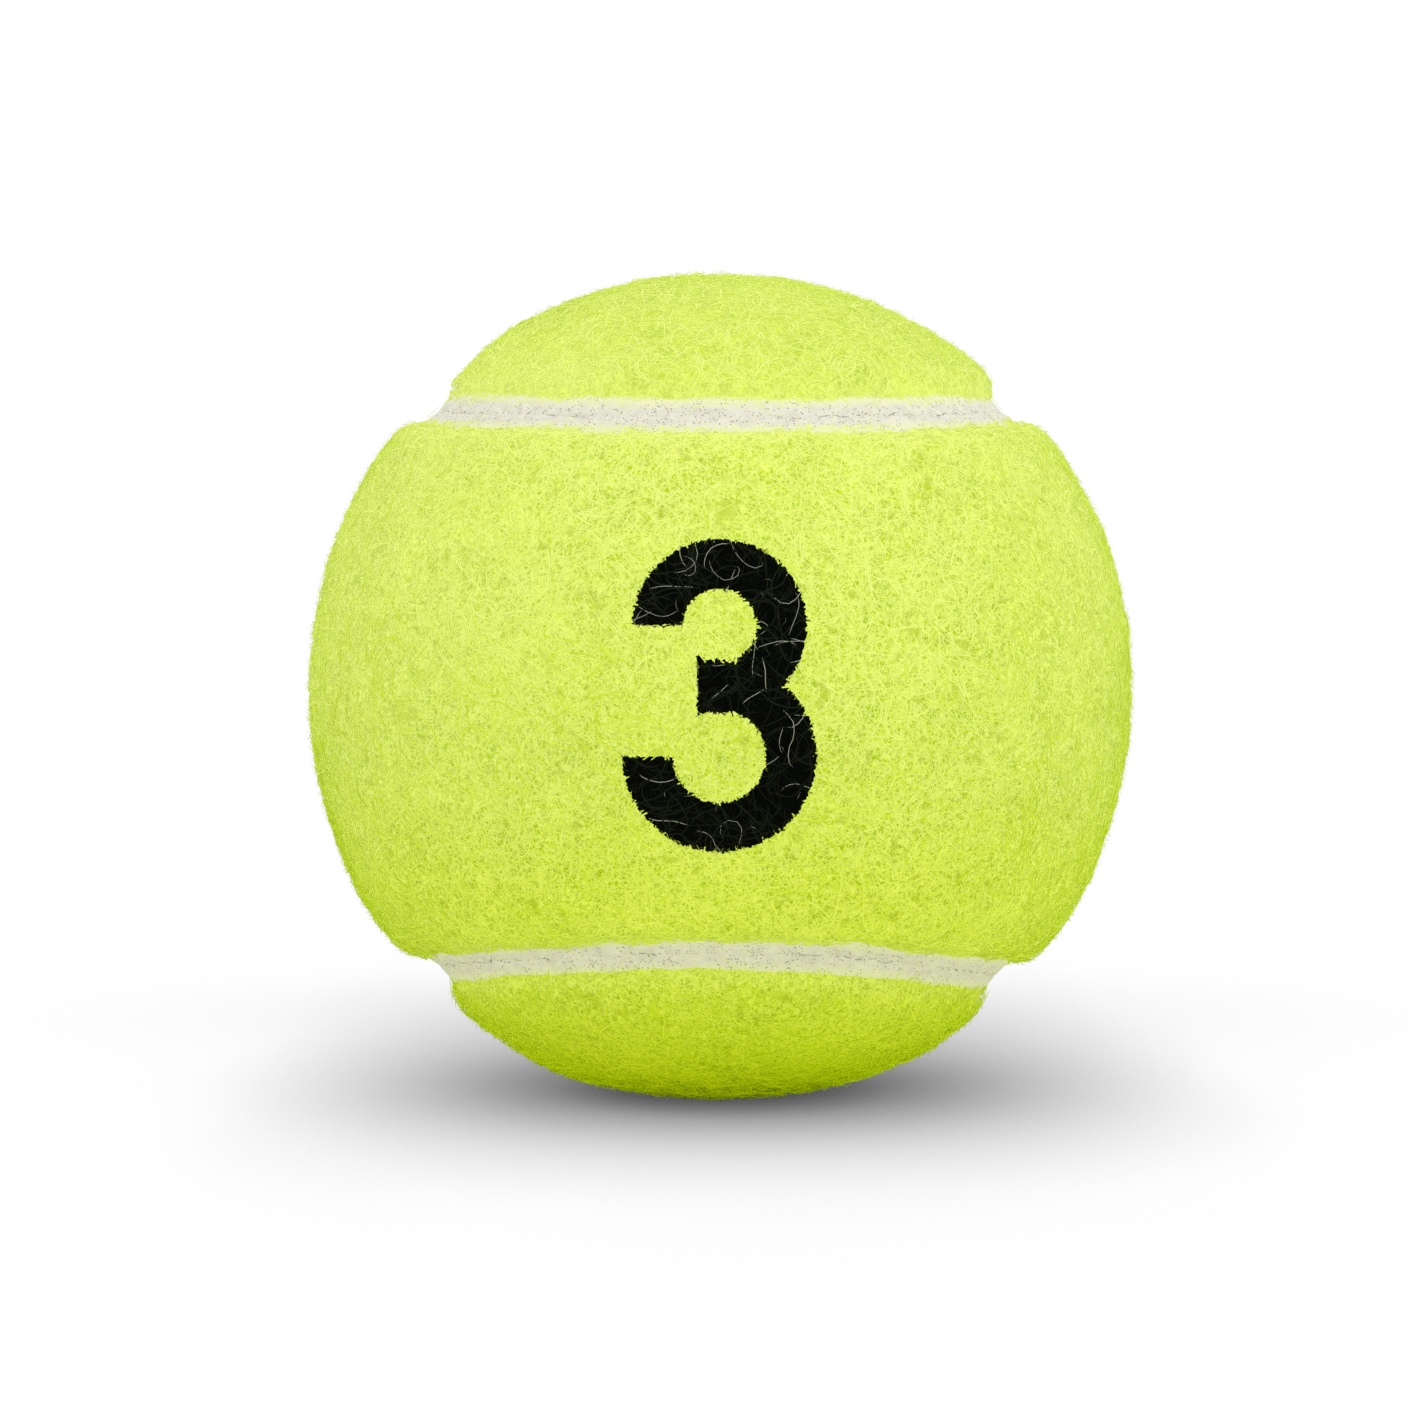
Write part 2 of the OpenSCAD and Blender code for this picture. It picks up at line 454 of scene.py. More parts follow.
def ramp(tree, share, *stops):
    """A colour ramp over (place, colour) stops."""
    node = add_node(tree, "ShaderNodeValToRGB", {"Fac": share})
    band = node.color_ramp
    while len(band.elements) < len(stops):
        band.elements.new(0.5)
    for element, (place, colour) in zip(band.elements, stops):
        element.position = place
        element.color = rgba(colour)
    return node.outputs["Color"]


def grey(value):
    """A grey of one value."""
    return (value, value, value)


def rgba(colour):
    """A colour with full cover."""
    return (*tuple(colour)[:3], 1.0)


def new_material(name):
    """A material, its node tree and its surface shader."""
    material = bpy.data.materials.new(name)
    material.use_nodes = True
    tree = material.node_tree
    shader = next(n for n in tree.nodes if n.type == "BSDF_PRINCIPLED")
    return material, tree, shader


def set_sockets(shader, **values):
    """Sets plain values on a shader's own sockets, with _ for a space in their names."""
    for key, value in values.items():
        shader.inputs[key.replace("_", " ")].default_value = value


NUMBER_RINGS = ((4.3 * MM, 4.4 * MM), (-5.0 * MM, 5.1 * MM))
NUMBER_STROKE = 1.8 * MM
NUMBER_LEFT = -1.6 * MM
# Grain of the fraying of the number's edge, and how far it reaches
FRAY_SIZE, FRAY_REACH = 0.25 * MM, 0.5 * MM


def in_number(at):
    """Whether each place on the ball lies in the printed numeral: two rings, each open on its left
    towards the other."""
    (upper_z, upper_r), (lower_z, lower_r) = NUMBER_RINGS
    x, y, z = at.T
    inside = np.zeros(len(at), bool)
    for centre, radius, way in ((upper_z, upper_r, -1), (lower_z, lower_r, 1)):
        ring = np.abs(np.hypot(x, z - centre) - radius) < NUMBER_STROKE
        opening = (x < NUMBER_LEFT) & ((z - centre) * way > 0)
        inside |= ring & ~opening
    return inside & (y < 0)


def number_mask(tree, at):
    """1 inside the printed numeral and 0 outside it, with an edge frayed by the nap."""
    fray = add_node(tree, "ShaderNodeTexNoise", {"Vector": at, "Scale": 1 / FRAY_SIZE, "Detail": 1.0})
    centred = add_node(tree, "ShaderNodeVectorMath", {0: fray.outputs["Color"], 1: grey(0.5)},
                       operation="SUBTRACT")
    shift = add_node(tree, "ShaderNodeVectorMath", {0: centred.outputs[0], "Scale": FRAY_REACH},
                     operation="SCALE")
    moved = add_node(tree, "ShaderNodeVectorMath", {0: at, 1: shift.outputs[0]}, operation="ADD")
    split = add_node(tree, "ShaderNodeSeparateXYZ", {0: moved.outputs[0]})
    x, y, z = split.outputs
    flat = add_node(tree, "ShaderNodeCombineXYZ", {"X": x, "Z": z}).outputs[0]
    left = do_math(tree, "LESS_THAN", x, NUMBER_LEFT)
    masks = []
    for (centre, radius), open_side in zip(NUMBER_RINGS, ("LESS_THAN", "GREATER_THAN")):
        off = add_node(
            tree, "ShaderNodeVectorMath", {0: flat, 1: (0, 0, centre)}, operation="DISTANCE")
        along = do_math(tree, "ABSOLUTE", do_math(tree, "SUBTRACT", off.outputs["Value"], radius))
        ring = do_math(tree, "LESS_THAN", along, NUMBER_STROKE)
        opening = do_math(tree, "MULTIPLY", left, do_math(tree, open_side, z, centre))
        masks.append(do_math(tree, "MULTIPLY", ring, do_math(tree, "SUBTRACT", 1.0, opening)))
    both = do_math(tree, "MAXIMUM", *masks)
    return do_math(tree, "MULTIPLY", both, do_math(tree, "LESS_THAN", y, 0.0))


# Name of the felt's value that is 1 in the middle of a pit, where the felt is darkened as painted shade
PIT = "pit"
# How far the pale cut line reaches under and over the level of the seam rubber
LINE_UNDER, LINE_OVER = 0.05 * MM, 0.12 * MM


def cut_line(tree, at):
    """1 low on the felt's cut edge, where it meets the seam rubber, and 0 over the rest."""
    height = add_node(tree, "ShaderNodeVectorMath", {0: at}, operation="LENGTH").outputs["Value"]
    ragged = do_math(tree, "MULTIPLY", noise_node(tree, at, 0.8 * MM, detail=2), 0.3 * MM)
    height = do_math(tree, "SUBTRACT", height, ragged)
    low = bpy.context.scene.ball_sizes.crown - bpy.context.scene.ball_sizes.seam_depth
    line = add_node(tree, "ShaderNodeMapRange", {
        "Value": height, "From Min": low - LINE_UNDER, "From Max": low + LINE_OVER,
        "To Min": 0.9, "To Max": 0.0})
    return line.outputs[0]


def thread(tree, at, size, wide):
    """1 along thin curly threads and 0 between them: the lines where noise passes its middle."""
    centred = do_math(tree, "SUBTRACT", noise_node(tree, at, size, detail=1), 0.5)
    off = do_math(tree, "ABSOLUTE", centred)
    line = add_node(tree, "ShaderNodeMapRange", {
        "Value": off, "From Min": wide * 0.4, "From Max": wide, "To Min": 1.0, "To Max": 0.0})
    return line.outputs[0]


# Steps in which the felt takes its low tint, a painted shade: the height where one starts, where it
# ends, its share
PAINTED_SHADE_STEPS = ((-5 * MM, -17 * MM, 0.34), (-20 * MM, -CROWN_R, 0.66))
# Heights between which the haze's sheen comes in, and how much of it there is at the upper one: its
# growth with height is painted light above and painted shade low down
HAZE_FROM, HAZE_TO, HAZE = -30 * MM, 12 * MM, 0.27


def painted_shade_share(tree, at):
    """0 on the felt down to below the ball's middle, growing in two steps to its lowest point: painted
    shade.
    """
    height = add_node(tree, "ShaderNodeSeparateXYZ", {0: at}).outputs["Z"]
    shares = [add_node(tree, "ShaderNodeMapRange", {
        "Value": height, "From Min": start, "From Max": end, "To Max": share},
        interpolation_type="SMOOTHSTEP").outputs[0] for start, end, share in PAINTED_SHADE_STEPS]
    return do_math(tree, "ADD", *shares)


def sheen_painted_by_height(tree, at):
    """Sheen on the felt: none low down, the most from above the middle, as painted shade and light."""
    height = add_node(tree, "ShaderNodeSeparateXYZ", {0: at}).outputs["Z"]
    return add_node(tree, "ShaderNodeMapRange", {
        "Value": height, "From Min": HAZE_FROM, "From Max": HAZE_TO, "To Max": HAZE}).outputs[0]


# Threads painted on the felt between its loose fibres: the size of their curls, and their width
FELT_THREADS = (
    (0.45 * MM, 0.05), (0.32 * MM, 0.06), (0.6 * MM, 0.04), (0.85 * MM, 0.03), (1.2 * MM, 0.024))
# Sizes of the felt's patches, tufts and strands of colour
PATCH_SIZE, TUFT_SIZE, STRAND_SIZE = 5 * MM, 1.0 * MM, 0.16 * MM
# Height over which the strands grow plainer, from below the ball's middle to its upper part: their
# stronger contrast low down is painted shade in the gaps of the nap
PLAIN_FROM, PLAIN_TO = -4 * MM, 16 * MM
# How far under the crown the felt rolls over at its edges, where it is paler: painted light on the
# rolled shoulders
ROLL_FROM, ROLL_TO = 0.2 * MM, 0.9 * MM
# Look of the felt and of its fibres where light grazes them
HAZE_LOOK = {"Sheen_Roughness": 0.6, "Sheen_Tint": (1.0, 1.0, 0.6, 1.0)}


def felt_material(look):
    """Matted felt: deep yellow, partly painted shade, in its gaps, paler curly threads, the number's ink.
    """
    material, tree, shader = new_material("matted_felt")
    at = add_node(tree, "ShaderNodeTexCoord").outputs["Object"]
    patches = noise_node(tree, at, PATCH_SIZE, detail=2)
    tufts = noise_node(tree, at, TUFT_SIZE, detail=3, distort=0.6)
    strands = noise_node(tree, at, STRAND_SIZE, detail=1, distort=1.0)
    height_z = add_node(tree, "ShaderNodeSeparateXYZ", {0: at}).outputs["Z"]
    # Painted shade: the strands show stronger contrast low on the ball
    grain = add_node(tree, "ShaderNodeMapRange", {
        "Value": height_z, "From Min": PLAIN_TO, "From Max": PLAIN_FROM, "To Min": 0.35, "To Max": 0.7})
    grain = do_math(tree, "MULTIPLY", grain.outputs[0], do_math(tree, "SUBTRACT", strands, 0.5))
    mass = do_math(tree, "ADD", do_math(tree, "MULTIPLY", tufts, 0.5), do_math(tree, "ADD", grain, 0.17))
    mass = do_math(tree, "ADD", mass, do_math(tree, "MULTIPLY", patches, 0.3))
    # Painted light: the nap's mass is paler higher on the ball
    painted_light_height = do_math(tree, "MAXIMUM", height_z, PLAIN_FROM)
    mass = do_math(tree, "ADD", mass, do_math(tree, "MULTIPLY", painted_light_height, PAINTED_LIGHT_UP / CROWN_R))
    # The deep end of the ramp is partly painted shade in the gaps
    colour = ramp(tree, mass, (0.37, look.deep), (0.57, look.body), (0.79, look.fibre_body))
    threads = [thread(tree, at, size, wide) for size, wide in FELT_THREADS]
    web = threads[0]
    for line in threads[1:]:
        web = do_math(tree, "MAXIMUM", web, line)
    brushed = add_node(tree, "ShaderNodeMapRange", {
        "Value": height_z, "From Min": BRUSHED_FROM, "From Max": BRUSHED_TO,
        "To Min": 0.6, "To Max": 0.35})
    shown = do_math(tree, "MULTIPLY", web, brushed.outputs[0])
    colour = mix_colour(tree, shown, colour, rgba(look.pale))
    # Painted shade in the pits
    pit = add_node(tree, "ShaderNodeAttribute", attribute_name=PIT).outputs["Fac"]
    colour = mix_colour(tree, do_math(tree, "MULTIPLY", pit, 0.65), colour, rgba(look.pit))
    # Painted shade: the felt is darker and more saturated low on the ball
    lower = painted_shade_share(tree, at)
    colour = mix_colour(tree, lower, colour, rgba(look.low), "MULTIPLY")
    radius = add_node(tree, "ShaderNodeVectorMath", {0: at}, operation="LENGTH").outputs["Value"]
    # Painted light: paler felt where the nap rolls over at its edges, less of it low on the ball
    rolled = add_node(tree, "ShaderNodeMapRange", {
        "Value": radius, "From Min": CROWN_R - ROLL_TO, "From Max": CROWN_R - ROLL_FROM,
        "To Min": 0.3, "To Max": 0.0})
    paler = do_math(tree, "MULTIPLY", rolled.outputs[0], do_math(tree, "SUBTRACT", 1.0, lower))
    colour = mix_colour(tree, paler, colour, rgba(look.pale))
    # Painted shade: the pale cut line fades low on the ball
    fading = do_math(tree, "SUBTRACT", 1.0, do_math(tree, "MULTIPLY", lower, 0.6))
    line = do_math(tree, "MULTIPLY", cut_line(tree, at), fading)
    colour = mix_colour(tree, line, colour, rgba(look.trim))
    inked = number_mask(tree, at)
    colour = mix_colour(tree, inked, colour, rgba(look.ink))
    tree.links.new(colour, shader.inputs["Base Color"])
    height = do_math(tree, "ADD", do_math(tree, "MULTIPLY", strands, 0.7), web)
    bump = add_node(tree, "ShaderNodeBump", {
        "Height": height, "Strength": 0.5, "Distance": 0.04 * MM})
    tree.links.new(bump.outputs[0], shader.inputs["Normal"])
    soft = do_math(tree, "MULTIPLY", do_math(tree, "SUBTRACT", 1.0, inked), sheen_painted_by_height(tree, at))
    tree.links.new(soft, shader.inputs["Sheen Weight"])
    set_sockets(shader, Roughness=0.95, Specular_IOR_Level=0.03, **HAZE_LOOK)
    return material


# The map on which each fibre lies in one small spot, and on it: where shades start and how far they
# reach, how much paler a tip is, as painted light on the part that stands off the felt, the height of
# yellow fibres, how far over it inked ones lie, and where those and the bare ones start
FIBRE_MAP = "OFBake"
SHADE_FROM, SHADE_WIDE, TIP_PAINTED_LIGHT = 0.03, 0.8, 0.14
YELLOW_AT, INKED_OVER = 0.2, 0.5
INKED_FROM, BARE_UNDER = 0.5, 0.12
# Where a bare fibre over the ink lies, as a share of the way up to an inked one
BARE = -0.34


def fibre_material(look):
    """Loose fibres: across the map from deep to pale, and up it bare, then yellow, then inked."""
    material, tree, shader = new_material("felt_fibre")
    at = add_node(tree, "ShaderNodeUVMap", uv_map=FIBRE_MAP).outputs[0]
    split = add_node(tree, "ShaderNodeSeparateXYZ", {0: at})
    mottle = add_node(tree, "ShaderNodeTexNoise", {"Vector": at, "Scale": 40.0, "Detail": 1.0})
    shift = do_math(tree, "MULTIPLY", do_math(tree, "SUBTRACT", mottle.outputs["Fac"], 0.5), 0.12)
    shade = do_math(tree, "ADD", split.outputs["X"], shift)
    colour = ramp(tree, shade, (0.0, look.body), (0.5, look.fibre_body), (1.0, look.pale))
    place = add_node(tree, "ShaderNodeTexCoord").outputs["Object"]
    # Painted shade: fibres low on the ball are darker and more saturated
    colour = mix_colour(tree, painted_shade_share(tree, place), colour, rgba(look.low), "MULTIPLY")
    inked = do_math(tree, "GREATER_THAN", split.outputs["Y"], INKED_FROM)
    dyed = ramp(tree, shade, (0.3, look.ink), (1.0, look.dyed))
    colour = mix_colour(tree, inked, colour, dyed)
    bare = do_math(tree, "LESS_THAN", split.outputs["Y"], BARE_UNDER)
    colour = mix_colour(tree, bare, colour, rgba(look.bare))
    tree.links.new(colour, shader.inputs["Base Color"])
    soft = do_math(tree, "MULTIPLY", do_math(tree, "SUBTRACT", 1.0, inked), sheen_painted_by_height(tree, place))
    tree.links.new(soft, shader.inputs["Sheen Weight"])
    set_sockets(shader, Roughness=0.85, Specular_IOR_Level=0.03, **HAZE_LOOK)
    return material


# Name of the seam's value that says how far a place lies from its middle, in metres
ACROSS = "across"
# Pores of the rubber: their spacing, their reach as a share of it, how much crowding lets them in,
# and the share of them that is left out
PORES = ((0.34 * MM, 0.22, 0.43, 0.6), (0.18 * MM, 0.32, 0.38, 0.62))
# Distances from the middle of the seam between which the felt's dye has soaked in
SOAK_FROM, SOAK_TO = 0.9 * MM, 1.7 * MM
# How far the dark line in the middle wanders to both sides together, and half its width
DASH_WANDER, DASH_HALF = 1.3 * MM, 0.045 * MM


def seam_material(look):
    """Matte off-white rubber with grey and stained patches, pores and a broken line in its middle."""
    material, tree, shader = new_material("seam_rubber")
    at = add_node(tree, "ShaderNodeTexCoord").outputs["Object"]
    across = add_node(tree, "ShaderNodeAttribute", attribute_name=ACROSS).outputs["Fac"]
    off = do_math(tree, "ABSOLUTE", across)
    patches = noise_node(tree, at, 0.9 * MM, detail=4, rough=0.65)
    colour = ramp(tree, patches, (0.3, look.shade), (0.66, look.rubber))
    blotches = noise_node(tree, at, 0.7 * MM, detail=4, rough=0.75)
    stains = add_node(tree, "ShaderNodeMapRange", {
        "Value": blotches, "From Min": 0.5, "From Max": 0.7, "To Max": 0.7})
    colour = mix_colour(tree, stains.outputs[0], colour, rgba(look.stain))
    ragged = do_math(tree, "ADD", off, do_math(tree, "MULTIPLY", patches, 0.5 * MM))
    soaked = add_node(tree, "ShaderNodeMapRange", {
        "Value": ragged, "From Min": SOAK_FROM, "From Max": SOAK_TO, "To Max": 0.75})
    colour = mix_colour(tree, soaked.outputs[0], colour, rgba(look.soak))
    sparser = add_node(tree, "ShaderNodeMapRange", {
        "Value": off, "From Min": 0.2 * MM, "From Max": 1.4 * MM, "To Max": 0.1})
    crowd = do_math(tree, "SUBTRACT", noise_node(tree, at, 1.6 * MM, detail=3), sparser.outputs[0])
    marks = []
    for size, reach, least, left_out in PORES:
        cells = add_node(tree, "ShaderNodeTexVoronoi", {"Vector": at, "Scale": 1 / size})
        near = do_math(tree, "LESS_THAN", cells.outputs["Distance"], reach)
        kept = do_math(tree, "GREATER_THAN", cells.outputs["Color"], left_out)
        crowded = do_math(tree, "GREATER_THAN", crowd, least)
        marks.append(do_math(tree, "MULTIPLY", do_math(tree, "MULTIPLY", near, kept), crowded))
    pore = do_math(tree, "MAXIMUM", *marks)
    sway = do_math(tree, "SUBTRACT", noise_node(tree, at, 1.5 * MM, detail=3), 0.5)
    wander = do_math(tree, "MULTIPLY", sway, DASH_WANDER)
    middle = do_math(tree, "ABSOLUTE", do_math(tree, "ADD", across, wander))
    thin = do_math(tree, "LESS_THAN", middle, DASH_HALF)
    broken = do_math(tree, "GREATER_THAN", noise_node(tree, at, 0.8 * MM, detail=3), 0.52)
    stretch = do_math(tree, "GREATER_THAN", noise_node(tree, at, 9 * MM, detail=1), 0.45)
    dash = do_math(tree, "MULTIPLY", thin, do_math(tree, "MULTIPLY", broken, stretch))
    in_pores = do_math(tree, "MULTIPLY", pore, 0.72)
    dirt = do_math(tree, "MAXIMUM", in_pores, do_math(tree, "MULTIPLY", dash, 0.7))
    colour = mix_colour(tree, dirt, colour, rgba(look.speck))
    tree.links.new(colour, shader.inputs["Base Color"])
    grain = noise_node(tree, at, 0.12 * MM, detail=3)
    height = do_math(tree, "SUBTRACT", do_math(tree, "MULTIPLY", grain, 0.5), dirt)
    bump = add_node(tree, "ShaderNodeBump", {"Height": height, "Strength": 0.4, "Distance": 0.06 * MM})
    tree.links.new(bump.outputs[0], shader.inputs["Normal"])
    rough = ramp(tree, grain, (0.3, grey(0.62)), (0.7, grey(0.85)))
    tree.links.new(rough, shader.inputs["Roughness"])
    set_sockets(shader, Specular_IOR_Level=0.25)
    return material


# How often the ball is divided for the felt's outer and its hidden inner skin
OUTER_FINENESS, INNER_FINENESS = 8, 5


def cut_panel_skin(shape, radius, fineness):
    """A ball's skin cut to the outline of the front panel."""
    deselect_all()
    bpy.ops.mesh.primitive_ico_sphere_add(subdivisions=fineness, radius=radius)
    skin = bpy.context.active_object
    bpy.ops.object.mode_set(mode="EDIT")
    bpy.ops.mesh.select_all(action="SELECT")
    bpy.ops.mesh.bisect(plane_co=(0, 0, 0), plane_no=(0, 1, 0))
    for axis in shape.front_axes:
        pick_faces(skin, lambda centre: centre.y < 0)
        at = axis * radius * math.cos(shape.polar + shape.rim)
        bpy.ops.mesh.bisect(plane_co=at, plane_no=axis, clear_outer=True)
    for axis in shape.rear_axes:
        pick_faces(skin, lambda centre: centre.y > 0 and centre.x * axis[0] > 0)
        at = axis * radius * math.cos(shape.polar - shape.rim)
        bpy.ops.mesh.bisect(plane_co=at, plane_no=axis, clear_inner=True)
    bpy.ops.mesh.select_all(action="SELECT")
    bpy.ops.mesh.remove_doubles(threshold=0.02 * MM)
    bpy.ops.object.mode_set(mode="OBJECT")
    return skin


def felt_blank(shape):
    """The front panel's nap as an even, closed shell, before its relief."""
    outer = cut_panel_skin(shape, shape.crown, OUTER_FINENESS)
    inner = cut_panel_skin(shape, shape.backing, INNER_FINENESS)
    select_only(inner)
    bpy.ops.object.mode_set(mode="EDIT")
    bpy.ops.mesh.select_all(action="SELECT")
    bpy.ops.mesh.flip_normals()
    bpy.ops.object.mode_set(mode="OBJECT")
    outer.select_set(True)
    bpy.context.view_layer.objects.active = outer
    bpy.ops.object.join()
    bpy.ops.object.mode_set(mode="EDIT")
    bpy.ops.mesh.select_mode(type="EDGE")
    bpy.ops.mesh.select_all(action="DESELECT")
    bpy.ops.mesh.select_non_manifold(
        extend=False, use_wire=False, use_boundary=True, use_multi_face=False,
        use_non_contiguous=False, use_verts=False)
    bpy.ops.mesh.bridge_edge_loops()
    bpy.ops.mesh.select_all(action="SELECT")
    bpy.ops.mesh.quads_convert_to_tris()
    bpy.ops.mesh.select_mode(type="FACE")
    bpy.ops.object.mode_set(mode="OBJECT")
    return outer


def raise_felt(obj, shape, panel):
    """Gives an even shell its rolled edge, its wavy outline and its relief."""
    at = places_of(obj.data)
    radius = np.linalg.norm(at, axis=1)
    top = radius > (shape.crown + shape.backing) / 2
    unit = unit_rows(at[top])
    angle, away = shape.from_seam(unit, panel)
    wander = shape.edge_wave(unit, panel) * edge_share(angle)
    moved = unit_rows(unit + away * wander[:, None])
    at[top] = moved * (shape.profile(angle) + shape.relief(moved, angle))[:, None]
    set_places(obj.data, at)
    depth = np.zeros(len(at))
    depth[top] = shape.pit_depth(moved * shape.crown)
    store_values(obj.data, PIT, depth)
    set_places(obj.data, shape.strayed(at))


def swap_matrix():
    """The half turn that carries the front panel onto the rear one."""
    return Matrix.Rotation(math.pi, 4, Vector((1, 0, 1)))


class BALL_OT_felt_panels(bpy.types.Operator):
    """Models the matted nap of both felt panels"""
    bl_idname = "ball.felt_panels"
    bl_label = "Felt panels"

    def execute(self, context):
        shape = BallShape(context.scene)
        material = felt_material(context.scene.ball_felt)
        front = felt_blank(shape)
        rear = front.copy()
        rear.data = front.data.copy()
        context.collection.objects.link(rear)
        rear.data.transform(swap_matrix())
        for obj, name, panel in ((front, "felt_front", FRONT), (rear, "felt_rear", REAR)):
            rename(obj, name)
            raise_felt(obj, shape, panel)
            select_only(obj)
            bpy.ops.object.shade_smooth()
            finish_piece(obj, material)
        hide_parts("felt_nap_front")
        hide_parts("felt_nap_rear")
        return {"FINISHED"}


# Parts of the rubber's surface from its middle to its edge, and steps along each arc, before each
# is divided by the cuts
SEAM_COLUMNS, SEAM_STEPS, SEAM_CUTS = 4, 70, 2
# Thickness of the rubber's lip under the felt
LIP_THICK = 0.6 * MM


def seam_section(shape, tuck):
    """Outline of the rubber on a panel's edge: (sideways, outwards) from the middle of the seam."""
    wide = shape.half_gap + tuck
    top = [(wide * i / SEAM_COLUMNS, shape.seam) for i in range(SEAM_COLUMNS + 1)]
    lip = shape.seam - LIP_THICK
    inner = [(shape.half_gap, lip), (shape.half_gap, shape.core), (0.0, shape.core)]
    return [*top, (wide, lip), *inner]


def seam_strip(shape, tuck):
    """The rubber on the front panel's edge: one section spun round the four arcs in turn."""
    section = seam_section(shape, tuck)
    deselect_all()
    bpy.ops.mesh.primitive_circle_add(vertices=len(section), radius=shape.seam, fill_type="NOTHING")
    strip = bpy.context.active_object
    start = Vector((1, 0, 1)).normalized()
    axis = Vector(shape.front_axes[0])
    along = axis.cross(start).normalized()
    sideways = along.cross(start).normalized()
    if sideways.dot(axis) > 0:
        sideways.negate()
    for vertex, (x, y) in zip(strip.data.vertices, section):
        vertex.co = start * y + sideways * x
    bpy.ops.object.mode_set(mode="EDIT")
    bpy.ops.mesh.select_all(action="SELECT")
    here = start
    for axis in (shape.front_axes[0], shape.rear_axes[1], shape.front_axes[1], shape.rear_axes[0]):
        axis = Vector(axis)
        outside = Vector((0, -1, 0)) if axis.z else Vector((0, 1, 0))
        way = 1 if axis.cross(here).dot(outside) > 0 else -1
        bpy.ops.mesh.spin(
            steps=SEAM_STEPS, angle=-way * shape.turn, center=(0, 0, 0), axis=axis,
            use_auto_merge=False)
        here = Matrix.Rotation(way * shape.turn, 3, axis) @ here
    bpy.ops.mesh.select_all(action="SELECT")
    bpy.ops.mesh.remove_doubles(threshold=0.01 * MM)
    bpy.ops.mesh.normals_make_consistent(inside=False)
    bpy.ops.mesh.subdivide(number_cuts=SEAM_CUTS)
    bpy.ops.object.mode_set(mode="OBJECT")
    return strip


# How far the rubber rises to its edges, and half the width of the crease in its middle
EDGE_RISE, CREASE_HALF = 0.1 * MM, 0.16 * MM
# How much higher the rubber lies low on the ball, with the depths between which that comes in, and
# how much more at its right end, with the places between which that does
LOW_LIFT, LOW_FROM, LOW_TO = 0.25 * MM, 16 * MM, 24 * MM
END_LIFT, END_FROM, END_TO = 0.3 * MM, 12 * MM, 20 * MM


def settle_rubber(obj, shape, look, panel):
    """Sinks a broken crease along the middle of the seam and makes the rubber uneven."""
    at = places_of(obj.data)
    radius = np.linalg.norm(at, axis=1)
    top = radius > shape.seam - 0.05 * MM
    unit = unit_rows(at[top])
    angle, _ = shape.from_seam(unit, panel)
    off = angle * shape.seam
    uneven = layered_noise(at[top], RUBBER_LAYERS)
    opened = smooth_step(smooth_noise(at[top], 2.4 * MM, 43), -0.1, 0.5)
    crease = np.exp(-((off / CREASE_HALF) ** 2)) * (0.15 + 0.85 * opened)
    lift = look.uneven * uneven * 0.66 - look.crease * crease
    lift += EDGE_RISE * (off / shape.half_gap).clip(0, 1) ** 2
    low = smooth_step(-at[top, 2], LOW_FROM, LOW_TO)
    lift += low * (LOW_LIFT + END_LIFT * smooth_step(at[top, 0], END_FROM, END_TO))
    at[top] = unit * (shape.seam + lift)[:, None]
    set_places(obj.data, at)
    across, _ = shape.from_seam(unit_rows(at), FRONT)
    store_values(obj.data, ACROSS, across * shape.seam)
    set_places(obj.data, shape.strayed(at))


class BALL_OT_seam(bpy.types.Operator):
    """Models the rubber on the cut edges of both panels"""
    bl_idname = "ball.seam"
    bl_label = "Seam rubber"

    def execute(self, context):
        scene = context.scene
        shape = BallShape(scene)
        material = seam_material(scene.ball_seam)
        front = seam_strip(shape, scene.ball_sizes.tuck)
        rear = front.copy()
        rear.data = front.data.copy()
        context.collection.objects.link(rear)
        rear.data.transform(swap_matrix())
        for obj, name, panel in ((front, "seam_front", FRONT), (rear, "seam_rear", REAR)):
            rename(obj, name)
            settle_rubber(obj, shape, scene.ball_seam, panel)
            select_only(obj)
            bpy.ops.object.shade_smooth_by_angle(angle=40 * DEGREE)
            finish_piece(obj, material)
        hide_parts("seam_edge_front")
        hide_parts("seam_edge_rear")
        return {"FINISHED"}


# Size of the swirls in which the fibres lie, and their seeds
SWIRL_SIZE, SWIRL_SEEDS = 7 * MM, (51, 52, 53)
# Angles from the rim within which a fibre turns away from the seam, and within which it is kept off
TURNED_WITHIN, KEPT_WITHIN = 4.5 * DEGREE, 2.5 * DEGREE
# Share of those fibres that do turn away
TURNED_SHARE = 0.9
# How much of its bend a fibre keeps from one step to the next, and how much stronger the new part is
BEND_KEPT, NEW_BEND = 0.8, 2.2


